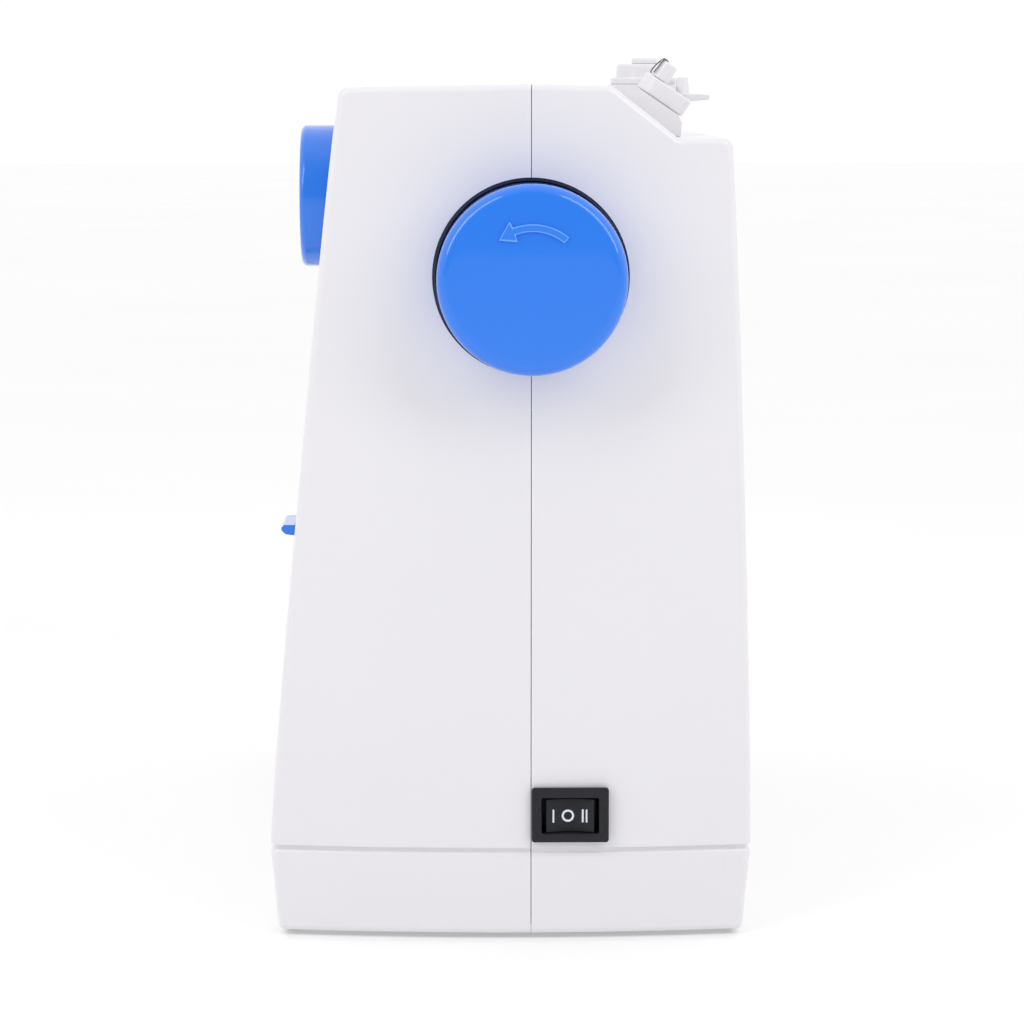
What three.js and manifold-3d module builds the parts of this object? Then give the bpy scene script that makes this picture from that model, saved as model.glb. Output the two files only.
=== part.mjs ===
// Compact household sewing machine, as an assembly of named pieces.
// Units are millimetres. +X runs along the machine to the hand-wheel end, -Y is the
// operator's side, +Y the back, +Z up. Z 0 is the underside of the rubber feet.
import * as THREE from 'three';
import { mergeVertices } from 'three/addons/utils/BufferGeometryUtils.js';
import Module from 'manifold-3d';

const wasm = await Module();
wasm.setup();

// ---------------------------------------------------------------- driving dimensions
const LEFT = -144.4;        // left end of the casing
const RIGHT = 125;          // right end of the casing, at the seam
const SEAM = 5.2;           // the plane where the front and rear shells meet
const WIDEST = 65.7;        // half the depth, at the top of the base skirt
const TOP = 231;
const UNDERSIDE = 1.5;
const WALL = 2.5;
const GAP = 0.3;            // clearance between neighbouring pieces
const SKIRT_TOP = 25;       // top of the base skirt, under the groove
const COLUMN_LEFT = 35;     // left side of the column
const ARM_BOTTOM = 150;
const HEAD_BOTTOM = 110;
const HEAD_RIGHT = -75;
const TRAY_TOP = 14;        // top of the tray under the free arm
const BED = 72;             // sewing surface
const ARM_FLOOR = 30;       // underside of the free arm
const SHAFT_Z = 180.2;      // height of the main shaft, which lies in the seam plane
const LOW_SHAFT_Z = 44;
const NEEDLE_X = -108;
const HOOK_Y = -13;
const FAR = 400;            // longer than anything in the part

// ---------------------------------------------------------------- materials
const plastic = (color, roughness) => new THREE.MeshStandardMaterial({ color, roughness });
const metal = (color, roughness) =>
  new THREE.MeshStandardMaterial({ color, roughness, metalness: 1 });
const WHITE = 0xeae9ee;
const BLUE = 0x4087f3;
const BLACK = 0x2b2c31;
const STEEL = 0xb9bcc1;
const IRON = 0x7d8186;
const GREY = 0x9a9ca1;

// ---------------------------------------------------------------- solids and booleans
function solid(geometry) {
  const bare = geometry.clone();
  bare.deleteAttribute('normal');
  bare.deleteAttribute('uv');
  const merged = mergeVertices(bare, 1e-4);
  const vertProperties = new Float32Array(merged.attributes.position.array);
  const triVerts = new Uint32Array(merged.index.array);
  return new wasm.Manifold(new wasm.Mesh({ numProp: 3, vertProperties, triVerts }));
}

function surface(made) {
  const mesh = made.getMesh();
  const places = new Float32Array(mesh.numVert * 3);
  for (let i = 0; i < mesh.numVert; i += 1) {
    places.set(mesh.vertProperties.subarray(i * mesh.numProp, i * mesh.numProp + 3), i * 3);
  }
  const geometry = new THREE.BufferGeometry();
  geometry.setAttribute('position', new THREE.BufferAttribute(places, 3));
  geometry.setIndex(new THREE.BufferAttribute(new Uint32Array(mesh.triVerts), 1));
  return geometry;
}

const join = (...pieces) => surface(pieces.map(solid).reduce((a, b) => a.add(b)));
const cut = (piece, ...tools) => surface(tools.map(solid).reduce((a, b) => a.subtract(b), solid(piece)));
const meet = (...pieces) => surface(pieces.map(solid).reduce((a, b) => a.intersect(b)));

// ---------------------------------------------------------------- shapes
// Corners are [u, v, radius]; each corner with a radius becomes an arc of a few steps.
function rounded(corners, steps = 4) {
  const outline = [];
  corners.forEach(([u, v, radius = 0], i) => {
    const here = new THREE.Vector2(u, v);
    if (radius === 0) {
      outline.push(here);
      return;
    }
    const [bu, bv] = corners[(i + corners.length - 1) % corners.length];
    const [nu, nv] = corners[(i + 1) % corners.length];
    const back = new THREE.Vector2(bu, bv).sub(here).normalize();
    const on = new THREE.Vector2(nu, nv).sub(here).normalize();
    const half = Math.acos(THREE.MathUtils.clamp(back.dot(on), -1, 1)) / 2;
    const middle = here.clone().add(back.clone().add(on).normalize().multiplyScalar(radius / Math.sin(half)));
    const reach = radius / Math.tan(half);
    const from = here.clone().addScaledVector(back, reach).sub(middle);
    const to = here.clone().addScaledVector(on, reach).sub(middle);
    let sweep = to.angle() - from.angle();
    if (sweep > Math.PI) sweep -= 2 * Math.PI;
    if (sweep < -Math.PI) sweep += 2 * Math.PI;
    for (let k = 0; k <= steps; k += 1) {
      outline.push(from.clone().rotateAround(new THREE.Vector2(), (sweep * k) / steps).add(middle));
    }
  });
  return outline;
}

function extrude(outline, depth, holes = []) {
  const shape = new THREE.Shape(outline);
  holes.forEach((hole) => shape.holes.push(new THREE.Path(hole)));
  return new THREE.ExtrudeGeometry(shape, { depth, bevelEnabled: false });
}

// Prisms along each axis. The outline's two coordinates are the other two axes in order.
function prismX(outline, from, to, holes) {
  const basis = new THREE.Matrix4().makeBasis(
    new THREE.Vector3(0, 1, 0), new THREE.Vector3(0, 0, 1), new THREE.Vector3(1, 0, 0));
  return extrude(outline, to - from, holes).applyMatrix4(basis).translate(from, 0, 0);
}
function prismY(outline, from, to, holes) {
  return extrude(outline, to - from, holes).rotateX(Math.PI / 2).translate(0, to, 0);
}
function prismZ(outline, from, to, holes) {
  return extrude(outline, to - from, holes).translate(0, 0, from);
}

function box(x0, x1, y0, y1, z0, z1) {
  return new THREE.BoxGeometry(x1 - x0, y1 - y0, z1 - z0)
    .translate((x0 + x1) / 2, (y0 + y1) / 2, (z0 + z1) / 2);
}

function roundBox(x0, x1, y0, y1, z0, z1, radius, steps = 3) {
  const corners = [[x0, y0, radius], [x1, y0, radius], [x1, y1, radius], [x0, y1, radius]];
  return prismZ(rounded(corners, steps), z0, z1);
}

// A turned piece: profile is [radius, height] from the axis and back to it, heights rising.
function turned(profile, axis, at, segments = 18) {
  const made = new THREE.LatheGeometry(profile.map(([r, h]) => new THREE.Vector2(r, h)), segments);
  const turn = new THREE.Quaternion().setFromUnitVectors(
    new THREE.Vector3(0, 1, 0), new THREE.Vector3(...axis).normalize());
  return made.applyQuaternion(turn).translate(...at);
}
const AX = [1, 0, 0];
const AY = [0, 1, 0];
const AZ = [0, 0, 1];

const rod = (radius, length, axis, at, segments = 16) =>
  turned([[0, 0], [radius, 0], [radius, length], [0, length]], axis, at, segments);

// A ring or sleeve; its profile closes on itself.
const ring = (inner, outer, length, axis, at, segments = 18) =>
  turned([[inner, 0], [outer, 0], [outer, length], [inner, length], [inner, 0]], axis, at, segments);

// A knob with a rounded rim on its far side.
function knob(radius, height, rim, axis, at, segments = 32, crown = 0) {
  const profile = [[0, 0], [radius, 0]];
  const steps = 4;
  for (let k = 0; k <= steps; k += 1) {
    const angle = (Math.PI / 2) * (k / steps);
    profile.push([radius - rim + rim * Math.cos(angle), height - rim - crown + rim * Math.sin(angle)]);
  }
  profile.push([0, height]);
  return turned(profile, axis, at, segments);
}

function circle(radius, segments, centre = [0, 0]) {
  return Array.from({ length: segments }, (_, i) => {
    const angle = (2 * Math.PI * i) / segments;
    return new THREE.Vector2(centre[0] + radius * Math.cos(angle), centre[1] + radius * Math.sin(angle));
  });
}

// A wheel with teeth round it; profile along +X.
function toothed(teeth, radius, depth, bore, from, to, y, z) {
  const outline = [];
  for (let i = 0; i < teeth; i += 1) {
    [[-0.28, radius - depth], [-0.16, radius], [0.16, radius], [0.28, radius - depth]].forEach(([s, r]) => {
      const angle = (2 * Math.PI * (i + s)) / teeth;
      outline.push(new THREE.Vector2(y + r * Math.cos(angle), z + r * Math.sin(angle)));
    });
  }
  return prismX(outline, from, to, bore ? [circle(bore, 24, [y, z])] : []);
}

// A belt round two wheels, seen along X.
function belt(a, b, thick, from, to) {
  const loop = (extra) => {
    const heading = Math.atan2(b.z - a.z, b.y - a.y);
    const spread = Math.acos((a.r - b.r) / Math.hypot(b.y - a.y, b.z - a.z));
    const steps = 12;
    const points = [];
    const onCircle = (pulley, angle) => new THREE.Vector2(
      pulley.y + (pulley.r + extra) * Math.cos(angle), pulley.z + (pulley.r + extra) * Math.sin(angle));
    for (let k = 0; k <= steps; k += 1) {
      const angle = heading + spread + ((2 * Math.PI - 2 * spread) * k) / steps;
      points.push(onCircle(a, angle));
    }
    for (let k = 0; k <= steps; k += 1) {
      const angle = heading - spread + (2 * spread * k) / steps;
      points.push(onCircle(b, angle));
    }
    return points;
  };
  return prismX(loop(thick), from, to, [loop(0)]);
}

// A bent round wire or rod through a list of points.
function wire(points, radius, steps = 12, segments = 8) {
  const path = new THREE.CatmullRomCurve3(points.map((p) => new THREE.Vector3(...p)));
  const section = new THREE.Shape(circle(radius, segments));
  return new THREE.ExtrudeGeometry(section, { steps, extrudePath: path, bevelEnabled: false });
}

// ---------------------------------------------------------------- casing
const FRONT_TOP = -45.6;     // front face where it meets the top
const BACK_TOP = 58.95;      // back face where it meets the rear ledge
const LEDGE = 216.9;         // rear ledge under the slanted step
const FACE_BULGE = 1.05;     // how far the front and back bow outwards, over most of their height
const SKIRT_TAPER = 2.2;     // how much the skirt narrows towards the floor
const END_BOW = 4.9;         // how far the right end bows outwards at the seam
const EDGE = 3;              // radius along the casing's edges

const bowed = (t) => FACE_BULGE * (1 - (2 * t - 1) ** 4);
const frontFace = (z) => {
  const t = (z - SKIRT_TOP) / (TOP - SKIRT_TOP);
  return -WIDEST + (WIDEST + FRONT_TOP) * t - bowed(t);
};
const backFace = (z) => {
  const t = (z - SKIRT_TOP) / (LEDGE - SKIRT_TOP);
  return WIDEST - (WIDEST - BACK_TOP) * t + bowed(t);
};

// The casing seen from its right end. Inset moves every face inwards.
function sideOutline(inset, floor) {
  const levels = [38, 62, 95, 130, 165, 195];
  const turn = inset * 0.34;
  const crown = 0.8;
  const corners = [
    [-WIDEST + SKIRT_TAPER + inset, floor, inset ? 0 : 1.5],
    [-WIDEST + inset, SKIRT_TOP, 0],
    ...levels.map((z) => [frontFace(z) + inset, z, 0]),
    [FRONT_TOP + inset, TOP - crown - inset, Math.max(EDGE - inset, 0.6)],
    [SEAM, TOP - inset, 0],
    [26.7 - turn, TOP - crown / 2 - inset, 2.5],
    [44.5 - turn, LEDGE - 0.2 - inset, 2.5],
    [BACK_TOP - inset, LEDGE - inset, Math.max(EDGE - inset, 0.6)],
    ...levels.toReversed().map((z) => [backFace(z) - inset, z, 0]),
    [WIDEST - inset, SKIRT_TOP, 0],
    [WIDEST - SKIRT_TAPER - inset, floor, inset ? 0 : 1.5],
  ];
  return rounded(corners, 3);
}

// The casing seen from the operator's side: head, arm, column and the tray under the free arm.
function frontOutline(inset, floor) {
  const corners = [
    [LEFT + inset, floor, 0],
    [RIGHT - inset, floor, 0],
    [RIGHT - inset, TOP - inset, 3.5],
    [LEFT + inset, TOP - inset, 16 - inset],
    [LEFT + inset, HEAD_BOTTOM + inset, 10 - inset],
    [HEAD_RIGHT - inset, HEAD_BOTTOM + inset, 10 - inset],
    [HEAD_RIGHT - inset, ARM_BOTTOM + inset, 14 + inset],
    [COLUMN_LEFT + inset, ARM_BOTTOM + inset, 14 + inset],
    [COLUMN_LEFT + inset, TRAY_TOP - inset, 0],
    [LEFT + inset, TRAY_TOP - inset, inset ? 0 : 2],
  ];
  return rounded(corners, 5);
}

// The casing from above: both ends bow outwards, most at the seam.
function endBowed(inset) {
  const points = [];
  const steps = 14;
  const bow = (y) => END_BOW * ((y - SEAM) / WIDEST) ** 2;
  for (let k = 0; k <= steps; k += 1) {
    const y = -WIDEST - 6 + ((2 * WIDEST + 12) * k) / steps;
    points.push(new THREE.Vector2(RIGHT - inset - bow(y), y));
  }
  points.push(new THREE.Vector2(LEFT + inset + 3, WIDEST + 6));
  points.push(new THREE.Vector2(LEFT + inset, SEAM));
  points.push(new THREE.Vector2(LEFT + inset + 3, -WIDEST - 6));
  return prismZ(points, -20, TOP + 20);
}

// Rounds the two upright edges on one side, following that side's slope.
function uprightEdges(side, inset) {
  const right = RIGHT - END_BOW + 0.1 - inset;
  const left = LEFT + inset;
  const face = side * (WIDEST - inset);
  const frontLean = (WIDEST + FRONT_TOP) / (TOP - SKIRT_TOP);
  const backLean = -(WIDEST - BACK_TOP) / (LEDGE - SKIRT_TOP);
  const lean = side < 0 ? frontLean : backLean;
  const rise = side < 0 ? 2.2 / TOP : 1.1 / TOP;
  const open = -side * 160;
  const radius = 4.5 - inset * 0.8;
  const corners = [
    [left, face, 9 - inset], [right, face, radius],
    [right + 0.13 * 160, face + open, 0], [left, face + open, 0]];
  const ordered = side < 0 ? corners : corners.toReversed();
  const shear = new THREE.Matrix4().makeShear(0, 0, 0, 0, rise, lean);
  const bulge = face + side * (FACE_BULGE + 0.05);
  const grown = ordered.map(([x, y, r]) => [x, y === face ? bulge : y, r]);
  return prismZ(rounded(grown, 4), -SKIRT_TOP - 20, TOP).applyMatrix4(shear).translate(0, 0, SKIRT_TOP);
}

function casingBlock(inset) {
  const floor = inset ? -8 : UNDERSIDE;
  return meet(
    prismX(sideOutline(inset, floor), LEFT - 5, RIGHT + 5),
    prismY(frontOutline(inset, floor), -WIDEST - 8, WIDEST + 8),
    endBowed(inset),
    uprightEdges(-1, inset),
    uprightEdges(1, inset));
}

const FREE_ARM = { left: -130, front: -34, back: 38, corner: 12 };
function freeArmBlock(inset) {
  const { left, front, back } = FREE_ARM;
  const topRadius = Math.max(2.5 - inset, 0.3);
  const across = [
    [front + inset, ARM_FLOOR + inset, 8 - inset], [back - inset, ARM_FLOOR + inset, 8 - inset],
    [back - inset, BED - inset, topRadius], [front + inset, BED - inset, topRadius]];
  const plan = [
    [left + inset, front, FREE_ARM.corner], [COLUMN_LEFT + WALL + 3, front, 0],
    [COLUMN_LEFT + WALL + 3, back, 0], [left + inset, back, FREE_ARM.corner]];
  return meet(
    prismX(rounded(across, 3), left - 2, COLUMN_LEFT + WALL + 3),
    prismZ(rounded(plan, 4), ARM_FLOOR - 2, BED + 2));
}

// ---------------------------------------------------------------- places shared by several pieces
const WHEEL = { radius: 25.1, well: 26.3, inner: 114, face: 144.4 };
const DIAL = { x: 90, z: 200.6, radius: 19.3, face: -56.9 };
const LEVER = { x0: 79, x1: 101, low: 107.9, high: 110.8, pivotY: -36, pivotZ: 103.5 };
const SWITCH = { y0: 5.45, y1: 26.35, z0: 27.2, z1: 42.2 };
const TENSION = { x: -57, y: -38.5, z: 200, radius: 14 };
const TAKE_UP = { x: -100, y: -8, z: 187 };
const SPOOL = { x: 52, y: 39.2 };
const PLATE = { x0: -119, x1: -80, y0: -8.5, y1: 33 };
const COVER = { x0: -119, x1: -80, y0: -31.2, y1: -8.8 };
const LAMP = { x0: -70, x1: -46, y0: -30, y1: -8 };
const JACK_Z = 46;
const POWER_JACK_X = 96;
const PEDAL_JACK_X = 76;
const PRESSER_Y = 17.5;

function casing() {
  const wheelWell = rod(WHEEL.well, 30, AX, [WHEEL.inner - 4, SEAM, SHAFT_Z], 48);
  const takeUpSlot = box(TAKE_UP.x - 3.5, TAKE_UP.x + 3.5, -70, -38, 150, 214);
  const dialHole = rod(4, 40, AY, [DIAL.x, -70, DIAL.z], 16);
  const dialCup = meet(casingBlock(0), rod(22, 60, AY, [DIAL.x, -105, DIAL.z], 36));
  const dialPocket = rod(DIAL.radius + 0.6, 60, AY, [DIAL.x, DIAL.face + 10 - 60, DIAL.z], 36);
  const leverSlot = box(LEVER.x0 + 4, LEVER.x1 - 4, -75, -48, LEVER.low - 5.1, LEVER.high + 0.6);
  const tensionSlot = box(TENSION.x - 5.5, TENSION.x + 5.5, -70, -38, TENSION.z - 13.5, TENSION.z + 13.5);
  const needleMouth = roundBox(-126, -82, -12, 34, HEAD_BOTTOM - 5, HEAD_BOTTOM + 8, 3);
  const plateMouth = roundBox(
    PLATE.x0 - GAP, PLATE.x1 + GAP, COVER.y0 - GAP, PLATE.y1 + GAP, BED - 6, BED + 5, 2);
  const lampMouth = roundBox(LAMP.x0, LAMP.x1, LAMP.y0, LAMP.y1, ARM_BOTTOM - 5, ARM_BOTTOM + 8, 2);
  const switchMouth = box(
    RIGHT - 12, RIGHT + 5, SWITCH.y0 + 1.2, SWITCH.y1 - 1.5, SWITCH.z0 + 1.5, SWITCH.z1 - 1.5);
  const spoolHole = rod(3.4, 40, AZ, [SPOOL.x, SPOOL.y, LEDGE - 20], 20);
  const jackHoles = [POWER_JACK_X, PEDAL_JACK_X].map((x) => rod(5.4, 30, AY, [x, 50, JACK_Z], 20));
  const grooveBand = cut(
    box(LEFT - 10, RIGHT + 10, -90, 90, SKIRT_TOP - 1.4, SKIRT_TOP + 0.1), casingBlock(1));

  const outside = join(casingBlock(0), freeArmBlock(0));
  const inside = join(casingBlock(WALL), freeArmBlock(WALL));
  const whole = cut(outside, inside, grooveBand, wheelWell, needleMouth, plateMouth, lampMouth);
  const frontHalf = box(-FAR, FAR, -FAR, SEAM - GAP / 2, -FAR, FAR);
  const backHalf = box(-FAR, FAR, SEAM + GAP / 2, FAR, -FAR, FAR);
  return {
    front_shell: cut(
      join(meet(whole, frontHalf), dialCup), takeUpSlot, dialPocket, dialHole, leverSlot, tensionSlot),
    rear_shell: cut(meet(whole, backHalf), switchMouth, spoolHole, ...jackHoles),
  };
}

function bottomPlate() {
  const edge = WALL + 2.2;
  const side = WIDEST - SKIRT_TAPER - edge;
  const floor = UNDERSIDE + GAP;
  return roundBox(LEFT + edge + 3, RIGHT - edge - END_BOW, -side, side, floor, floor + 2, 6);
}

function rubberFoot(x, y) {
  return turned([[0, 0], [6.5, 0], [7, 0.5], [7, UNDERSIDE], [0, UNDERSIDE]], AZ, [x, y, 0], 20);
}

// Cast frame: a plate down the back of the mechanism with lugs that carry the shafts.
function frameCasting() {
  const plateY = 20;
  const thick = 5;
  const run = [
    [-126, 200, 4], [-126, 158, 4], [-92, 158, 0], [-84, 168, 0], [66, 168, 0], [66, 56, 0],
    [-70, 56, 0], [-70, 38, 3], [66, 38, 0], [66, 6, 0], [88, 6, 0], [88, 200, 3]];
  const plate = prismY(rounded(run, 3), plateY, plateY + thick);
  const lug = (x0, x1, z, reach) => meet(
    box(x0, x1, SEAM - reach, plateY + 1, z - reach, z + reach),
    join(rod(reach, x1 - x0, AX, [x0, SEAM, z], 28), box(x0, x1, SEAM, plateY + 1, z - reach, z + reach)));
  const guides = [195, 160].map((z) => box(-116, -102, -2, plateY + 1, z - 3, z + 3));
  const bores = [
    rod(7 + GAP, 60, AX, [50, SEAM, SHAFT_Z], 28),
    rod(7 + GAP, 30, AX, [-88, SEAM, SHAFT_Z], 28),
    rod(3 + GAP, 200, AX, [-80, SEAM, LOW_SHAFT_Z], 24),
    rod(3 + GAP, 80, AZ, [NEEDLE_X, SEAM, 150], 24),
    rod(3 + GAP, 80, AZ, [NEEDLE_X, PRESSER_Y, 150], 24)];
  const lifterBracket = box(LIFTER.x - 4.5, LIFTER.x + 6, plateY, plateY + thick, LIFTER.z - 5, 162);
  const whole = join(plate, lifterBracket, lug(72, 86, SHAFT_Z, 11), lug(-82, -70, SHAFT_Z, 11),
    lug(-66, -58, LOW_SHAFT_Z, 7), lug(74, 84, LOW_SHAFT_Z, 7), ...guides);
  return cut(whole, ...bores);
}

const bush = (x, length) => ring(4 + GAP, 7, length, AX, [x, SEAM, SHAFT_Z]);

// ---------------------------------------------------------------- drive
function handWheel() {
  const thick = WHEEL.face - WHEEL.inner - 2;
  const disc = knob(WHEEL.radius, thick, 3, AX, [WHEEL.inner + 2, SEAM, SHAFT_Z], 40, 0.8);
  const hollow = rod(21.5, 8, AX, [WHEEL.inner, SEAM, SHAFT_Z], 32);
  const hub = rod(8, 12, AX, [WHEEL.inner, SEAM, SHAFT_Z], 24);
  const bore = rod(4 + GAP, 14, AX, [WHEEL.inner - 1, SEAM, SHAFT_Z], 24);
  return cut(join(cut(disc, hollow), hub, curvedArrow()), bore);
}

// The raised arrow on the wheel's face, pointing the way the wheel turns.
function curvedArrow() {
  const middle = 13.7;
  const half = 0.9;
  const start = Math.PI * 0.26;
  const end = Math.PI * 0.6;
  const steps = 8;
  const point = (radius, angle) => new THREE.Vector2(
    SEAM + radius * Math.cos(angle), SHAFT_Z + radius * Math.sin(angle));
  const outline = [];
  for (let k = 0; k <= steps; k += 1) outline.push(point(middle - half, start + ((end - start) * k) / steps));
  outline.push(point(middle - 2.8, end), point(middle, end + 0.36), point(middle + 2.8, end));
  for (let k = steps; k >= 0; k -= 1) outline.push(point(middle + half, start + ((end - start) * k) / steps));
  return prismX(outline, WHEEL.face - 3, WHEEL.face - 0.05);
}

function wheelCup() {
  const outer = ring(WHEEL.well + 0.6, WHEEL.well + 2.4, 11, AX, [WHEEL.inner - 4.5, SEAM, SHAFT_Z], 36);
  const floor = ring(5, WHEEL.well + 2, 2, AX, [WHEEL.inner - 4.5, SEAM, SHAFT_Z], 36);
  return join(outer, floor);
}

const mainShaft = () => rod(4, WHEEL.inner + 10 + 90, AX, [-90, SEAM, SHAFT_Z]);
const BELT_PULLEY = { y: SEAM, z: SHAFT_Z, r: 20 };
const MOTOR = { y: 42.5, z: 96, r: 6 };
const beltWheel = (spec, bore) => turned([
  [bore, 0], [spec.r + 2, 0], [spec.r + 2, 1], [spec.r - 0.3, 1.6], [spec.r - 0.3, 5.4], [spec.r + 2, 6],
  [spec.r + 2, 7], [bore, 7], [bore, 0]], AX, [98, spec.y, spec.z], spec.r > 10 ? 28 : 16);
const TIMING = { x0: 60, x1: 68, r: 11 };
const timingGear = (z, bore) => toothed(14, TIMING.r, 1.2, bore, TIMING.x0, TIMING.x1, SEAM, z);
const timingBelt = () => belt(
  { y: SEAM, z: SHAFT_Z, r: TIMING.r + GAP }, { y: SEAM, z: LOW_SHAFT_Z, r: TIMING.r + GAP }, 1.2, 61, 67);

function motorBody() {
  const can = turned([[0, 0], [15, 0], [16.5, 1.5], [16.5, 36], [15, 38], [7, 38], [7, 41], [0, 41]], AX,
    [50, MOTOR.y, MOTOR.z], 24);
  const spindle = rod(2, 18, AX, [88, MOTOR.y, MOTOR.z], 16);
  return join(can, spindle);
}

// Crank disc with its pin, on the left end of the main shaft.
const CRANK = 12;
function crankDisc() {
  const disc = ring(4 + GAP, 14.6, 5, AX, [-90, SEAM, SHAFT_Z], 28);
  const pin = rod(2, 4.5, AX, [-93.5, SEAM, SHAFT_Z + CRANK], 16);
  return join(disc, pin);
}

// ---------------------------------------------------------------- needle and presser foot
const BAR_TOP = 222;
const needleBar = () => cut(
  rod(3, BAR_TOP - 112, AZ, [NEEDLE_X, SEAM, 112]), rod(1.3, 20, AZ, [NEEDLE_X, SEAM, 100], 16));
function needleClamp() {
  const collar = ring(3 + GAP, 5.5, 8, AZ, [NEEDLE_X, SEAM, 114]);
  const boss = box(NEEDLE_X + 4.4, NEEDLE_X + 8.5, SEAM - 3, SEAM + 3, 115, 121);
  return cut(join(collar, boss), rod(1.4, 12, AX, [NEEDLE_X + 3, SEAM, 118], 16));
}
function clampScrew() {
  return turned([[0, 0], [1.1, 0], [1.1, 4.5], [3.6, 4.5], [3.9, 5], [3.9, 11], [3.4, 11.6], [0, 11.6]], AX,
    [NEEDLE_X + 4.3, SEAM, 118], 20);
}
function needle() {
  const profile = [[0, 0], [0.42, 5], [0.42, 20], [0.95, 22], [0.95, 40], [0, 40.4]];
  return turned(profile, AZ, [NEEDLE_X, SEAM, 79], 12);
}
function takeUpLever() {
  const { x, y, z } = TAKE_UP;
  const outline = rounded([
    [y + 7, z - 6, 5], [y + 7, z + 8, 5], [y - 4, z + 9, 4], [-44, 212, 3], [-56.5, 213.5, 2],
    [-57.5, 205.5, 2.5], [-44, 205, 3], [y - 8, z - 6, 5]], 3);
  const plate = prismX(outline, x - 1, x + 1, [circle(2.5 + GAP, 16, [y, z])]);
  return cut(plate, rod(1.3, 20, AX, [x - 5, -53.5, 209.6], 12));
}
const takeUpPivot = () => join(
  rod(2.5, 11.6, AX, [TAKE_UP.x - 6, TAKE_UP.y, TAKE_UP.z], 16),
  rod(4.5, 2, AX, [TAKE_UP.x - 8, TAKE_UP.y, TAKE_UP.z], 16));
const presserBar = () => rod(3, 220 - 96, AZ, [NEEDLE_X, PRESSER_Y, 96]);
function footShank() {
  const sleeve = ring(3 + GAP, 5, 12, AZ, [NEEDLE_X, PRESSER_Y, 92]);
  const block = box(NEEDLE_X - 4.5, NEEDLE_X + 4.5, 12.5, PRESSER_Y + 4, 84, 93);
  const slot = box(NEEDLE_X - 6, NEEDLE_X + 6, 14, 17, 82, 86.6);
  return cut(join(sleeve, block), slot, rod(1.5, 12, AX, [NEEDLE_X + 2.6, PRESSER_Y, 99], 16));
}
const shankScrew = () => turned([
  [0, 0], [1.2, 0], [1.2, 2.4], [4.2, 2.4], [4.6, 3], [4.6, 7], [4, 7.6], [0, 7.6]],
AX, [NEEDLE_X + 3.4, PRESSER_Y, 99], 20);
function presserFoot() {
  const left = NEEDLE_X - 9;
  const right = NEEDLE_X + 9;
  const sole = rounded([[left, -8, 3], [right, -8, 3], [right, 24, 2], [left, 24, 2]], 3);
  const plate = prismZ(sole, 73, 75);
  const toeSlot = roundBox(NEEDLE_X - 2, NEEDLE_X + 2, -12, 7.5, 70, 80, 1.2, 3);
  const needleSlot = roundBox(NEEDLE_X - 4, NEEDLE_X + 4, SEAM - 1.6, SEAM + 1.6, 70, 80, 1.2, 3);
  const ears = [-1, 1].map((side) =>
    box(NEEDLE_X + side * 4.5 - 1, NEEDLE_X + side * 4.5 + 1, 12, 19, 74.5, 82));
  const bar = rod(1.1, 11, AX, [NEEDLE_X - 5.5, 15.5, 80], 12);
  const stem = box(NEEDLE_X - 3, NEEDLE_X + 3, 14.4, 16.6, 80, 83.6);
  return join(cut(plate, toeSlot, needleSlot), ...ears, bar, stem);
}
const LIFTER = { x: -92, y: 25.5, z: 107 };
function presserLifter() {
  const { x, y, z } = LIFTER;
  const outline = rounded([
    [x - 5, z + 4, 3], [x + 5, z + 4, 3], [x + 10, z - 12, 3], [x + 14, z - 24, 3],
    [x + 6, z - 27, 3], [x + 2, z - 12, 4], [x - 5, z - 4, 3]], 3);
  const arm = prismY(outline, y, y + 3, [circle(2 + GAP, 16, [x, z])]);
  const pad = roundBox(x + 6.5, x + 12.5, y + 2, y + 8, z - 25, z - 18, 1.5);
  return join(arm, pad);
}
const lifterPin = () => join(
  rod(2, 7.3, AY, [LIFTER.x, LIFTER.y - 0.3, LIFTER.z], 16),
  rod(4, 1.6, AY, [LIFTER.x, LIFTER.y + 3.3, LIFTER.z], 16));

// ---------------------------------------------------------------- bed
function needlePlate() {
  const plate = roundBox(PLATE.x0, PLATE.x1, PLATE.y0, PLATE.y1, BED - 1.6, BED, 1.5);
  const hole = roundBox(NEEDLE_X - 3.4, NEEDLE_X + 3.4, SEAM - 0.9, SEAM + 0.9, BED - 5, BED + 5, 0.8);
  const slots = [-6, -2, 2, 6].map((dx) => {
    const long = Math.abs(dx) > 4;
    return box(NEEDLE_X + dx - 1.1, NEEDLE_X + dx + 1.1, long ? 3 : 8, 24, BED - 5, BED + 5);
  });
  return cut(plate, hole, ...slots);
}
function feedDog() {
  const base = box(NEEDLE_X - 7, NEEDLE_X + 7, 7, 22, 66.4, 69);
  const rows = [-6, -2, 2, 6].map((dx) => {
    const start = Math.abs(dx) > 4 ? 6 : 9.6;
    const teeth = [[start, 68.5]];
    for (let y = start; y < 21.4; y += 1.6) teeth.push([y, 71.7], [y + 1.3, 72.4]);
    teeth.push([22, 71.7], [22, 68.5]);
    return prismX(teeth.map(([y, z]) => new THREE.Vector2(y, z)), NEEDLE_X + dx - 0.7, NEEDLE_X + dx + 0.7);
  });
  return join(base, ...rows);
}
const bobbinCover = () => cut(
  roundBox(COVER.x0, COVER.x1, COVER.y0, COVER.y1, BED - 1.8, BED, 1.5),
  roundBox(-86, -83.5, -24, -16, BED - 1, BED + 1, 1));
function hook() {
  const cup = turned([
    [0, -22], [3, -22], [3, -3], [12, -3], [17, 0], [17, 9], [15.4, 9], [15.4, 1.6], [0, 1.6]],
  AZ, [NEEDLE_X, HOOK_Y, 56], 28);
  return cup;
}
const hookGear = () => prismZ(
  toothedOutline(10, 9.6, 1.6), 40, 48, [circle(3 + GAP, 24, [NEEDLE_X, HOOK_Y])]);
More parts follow.
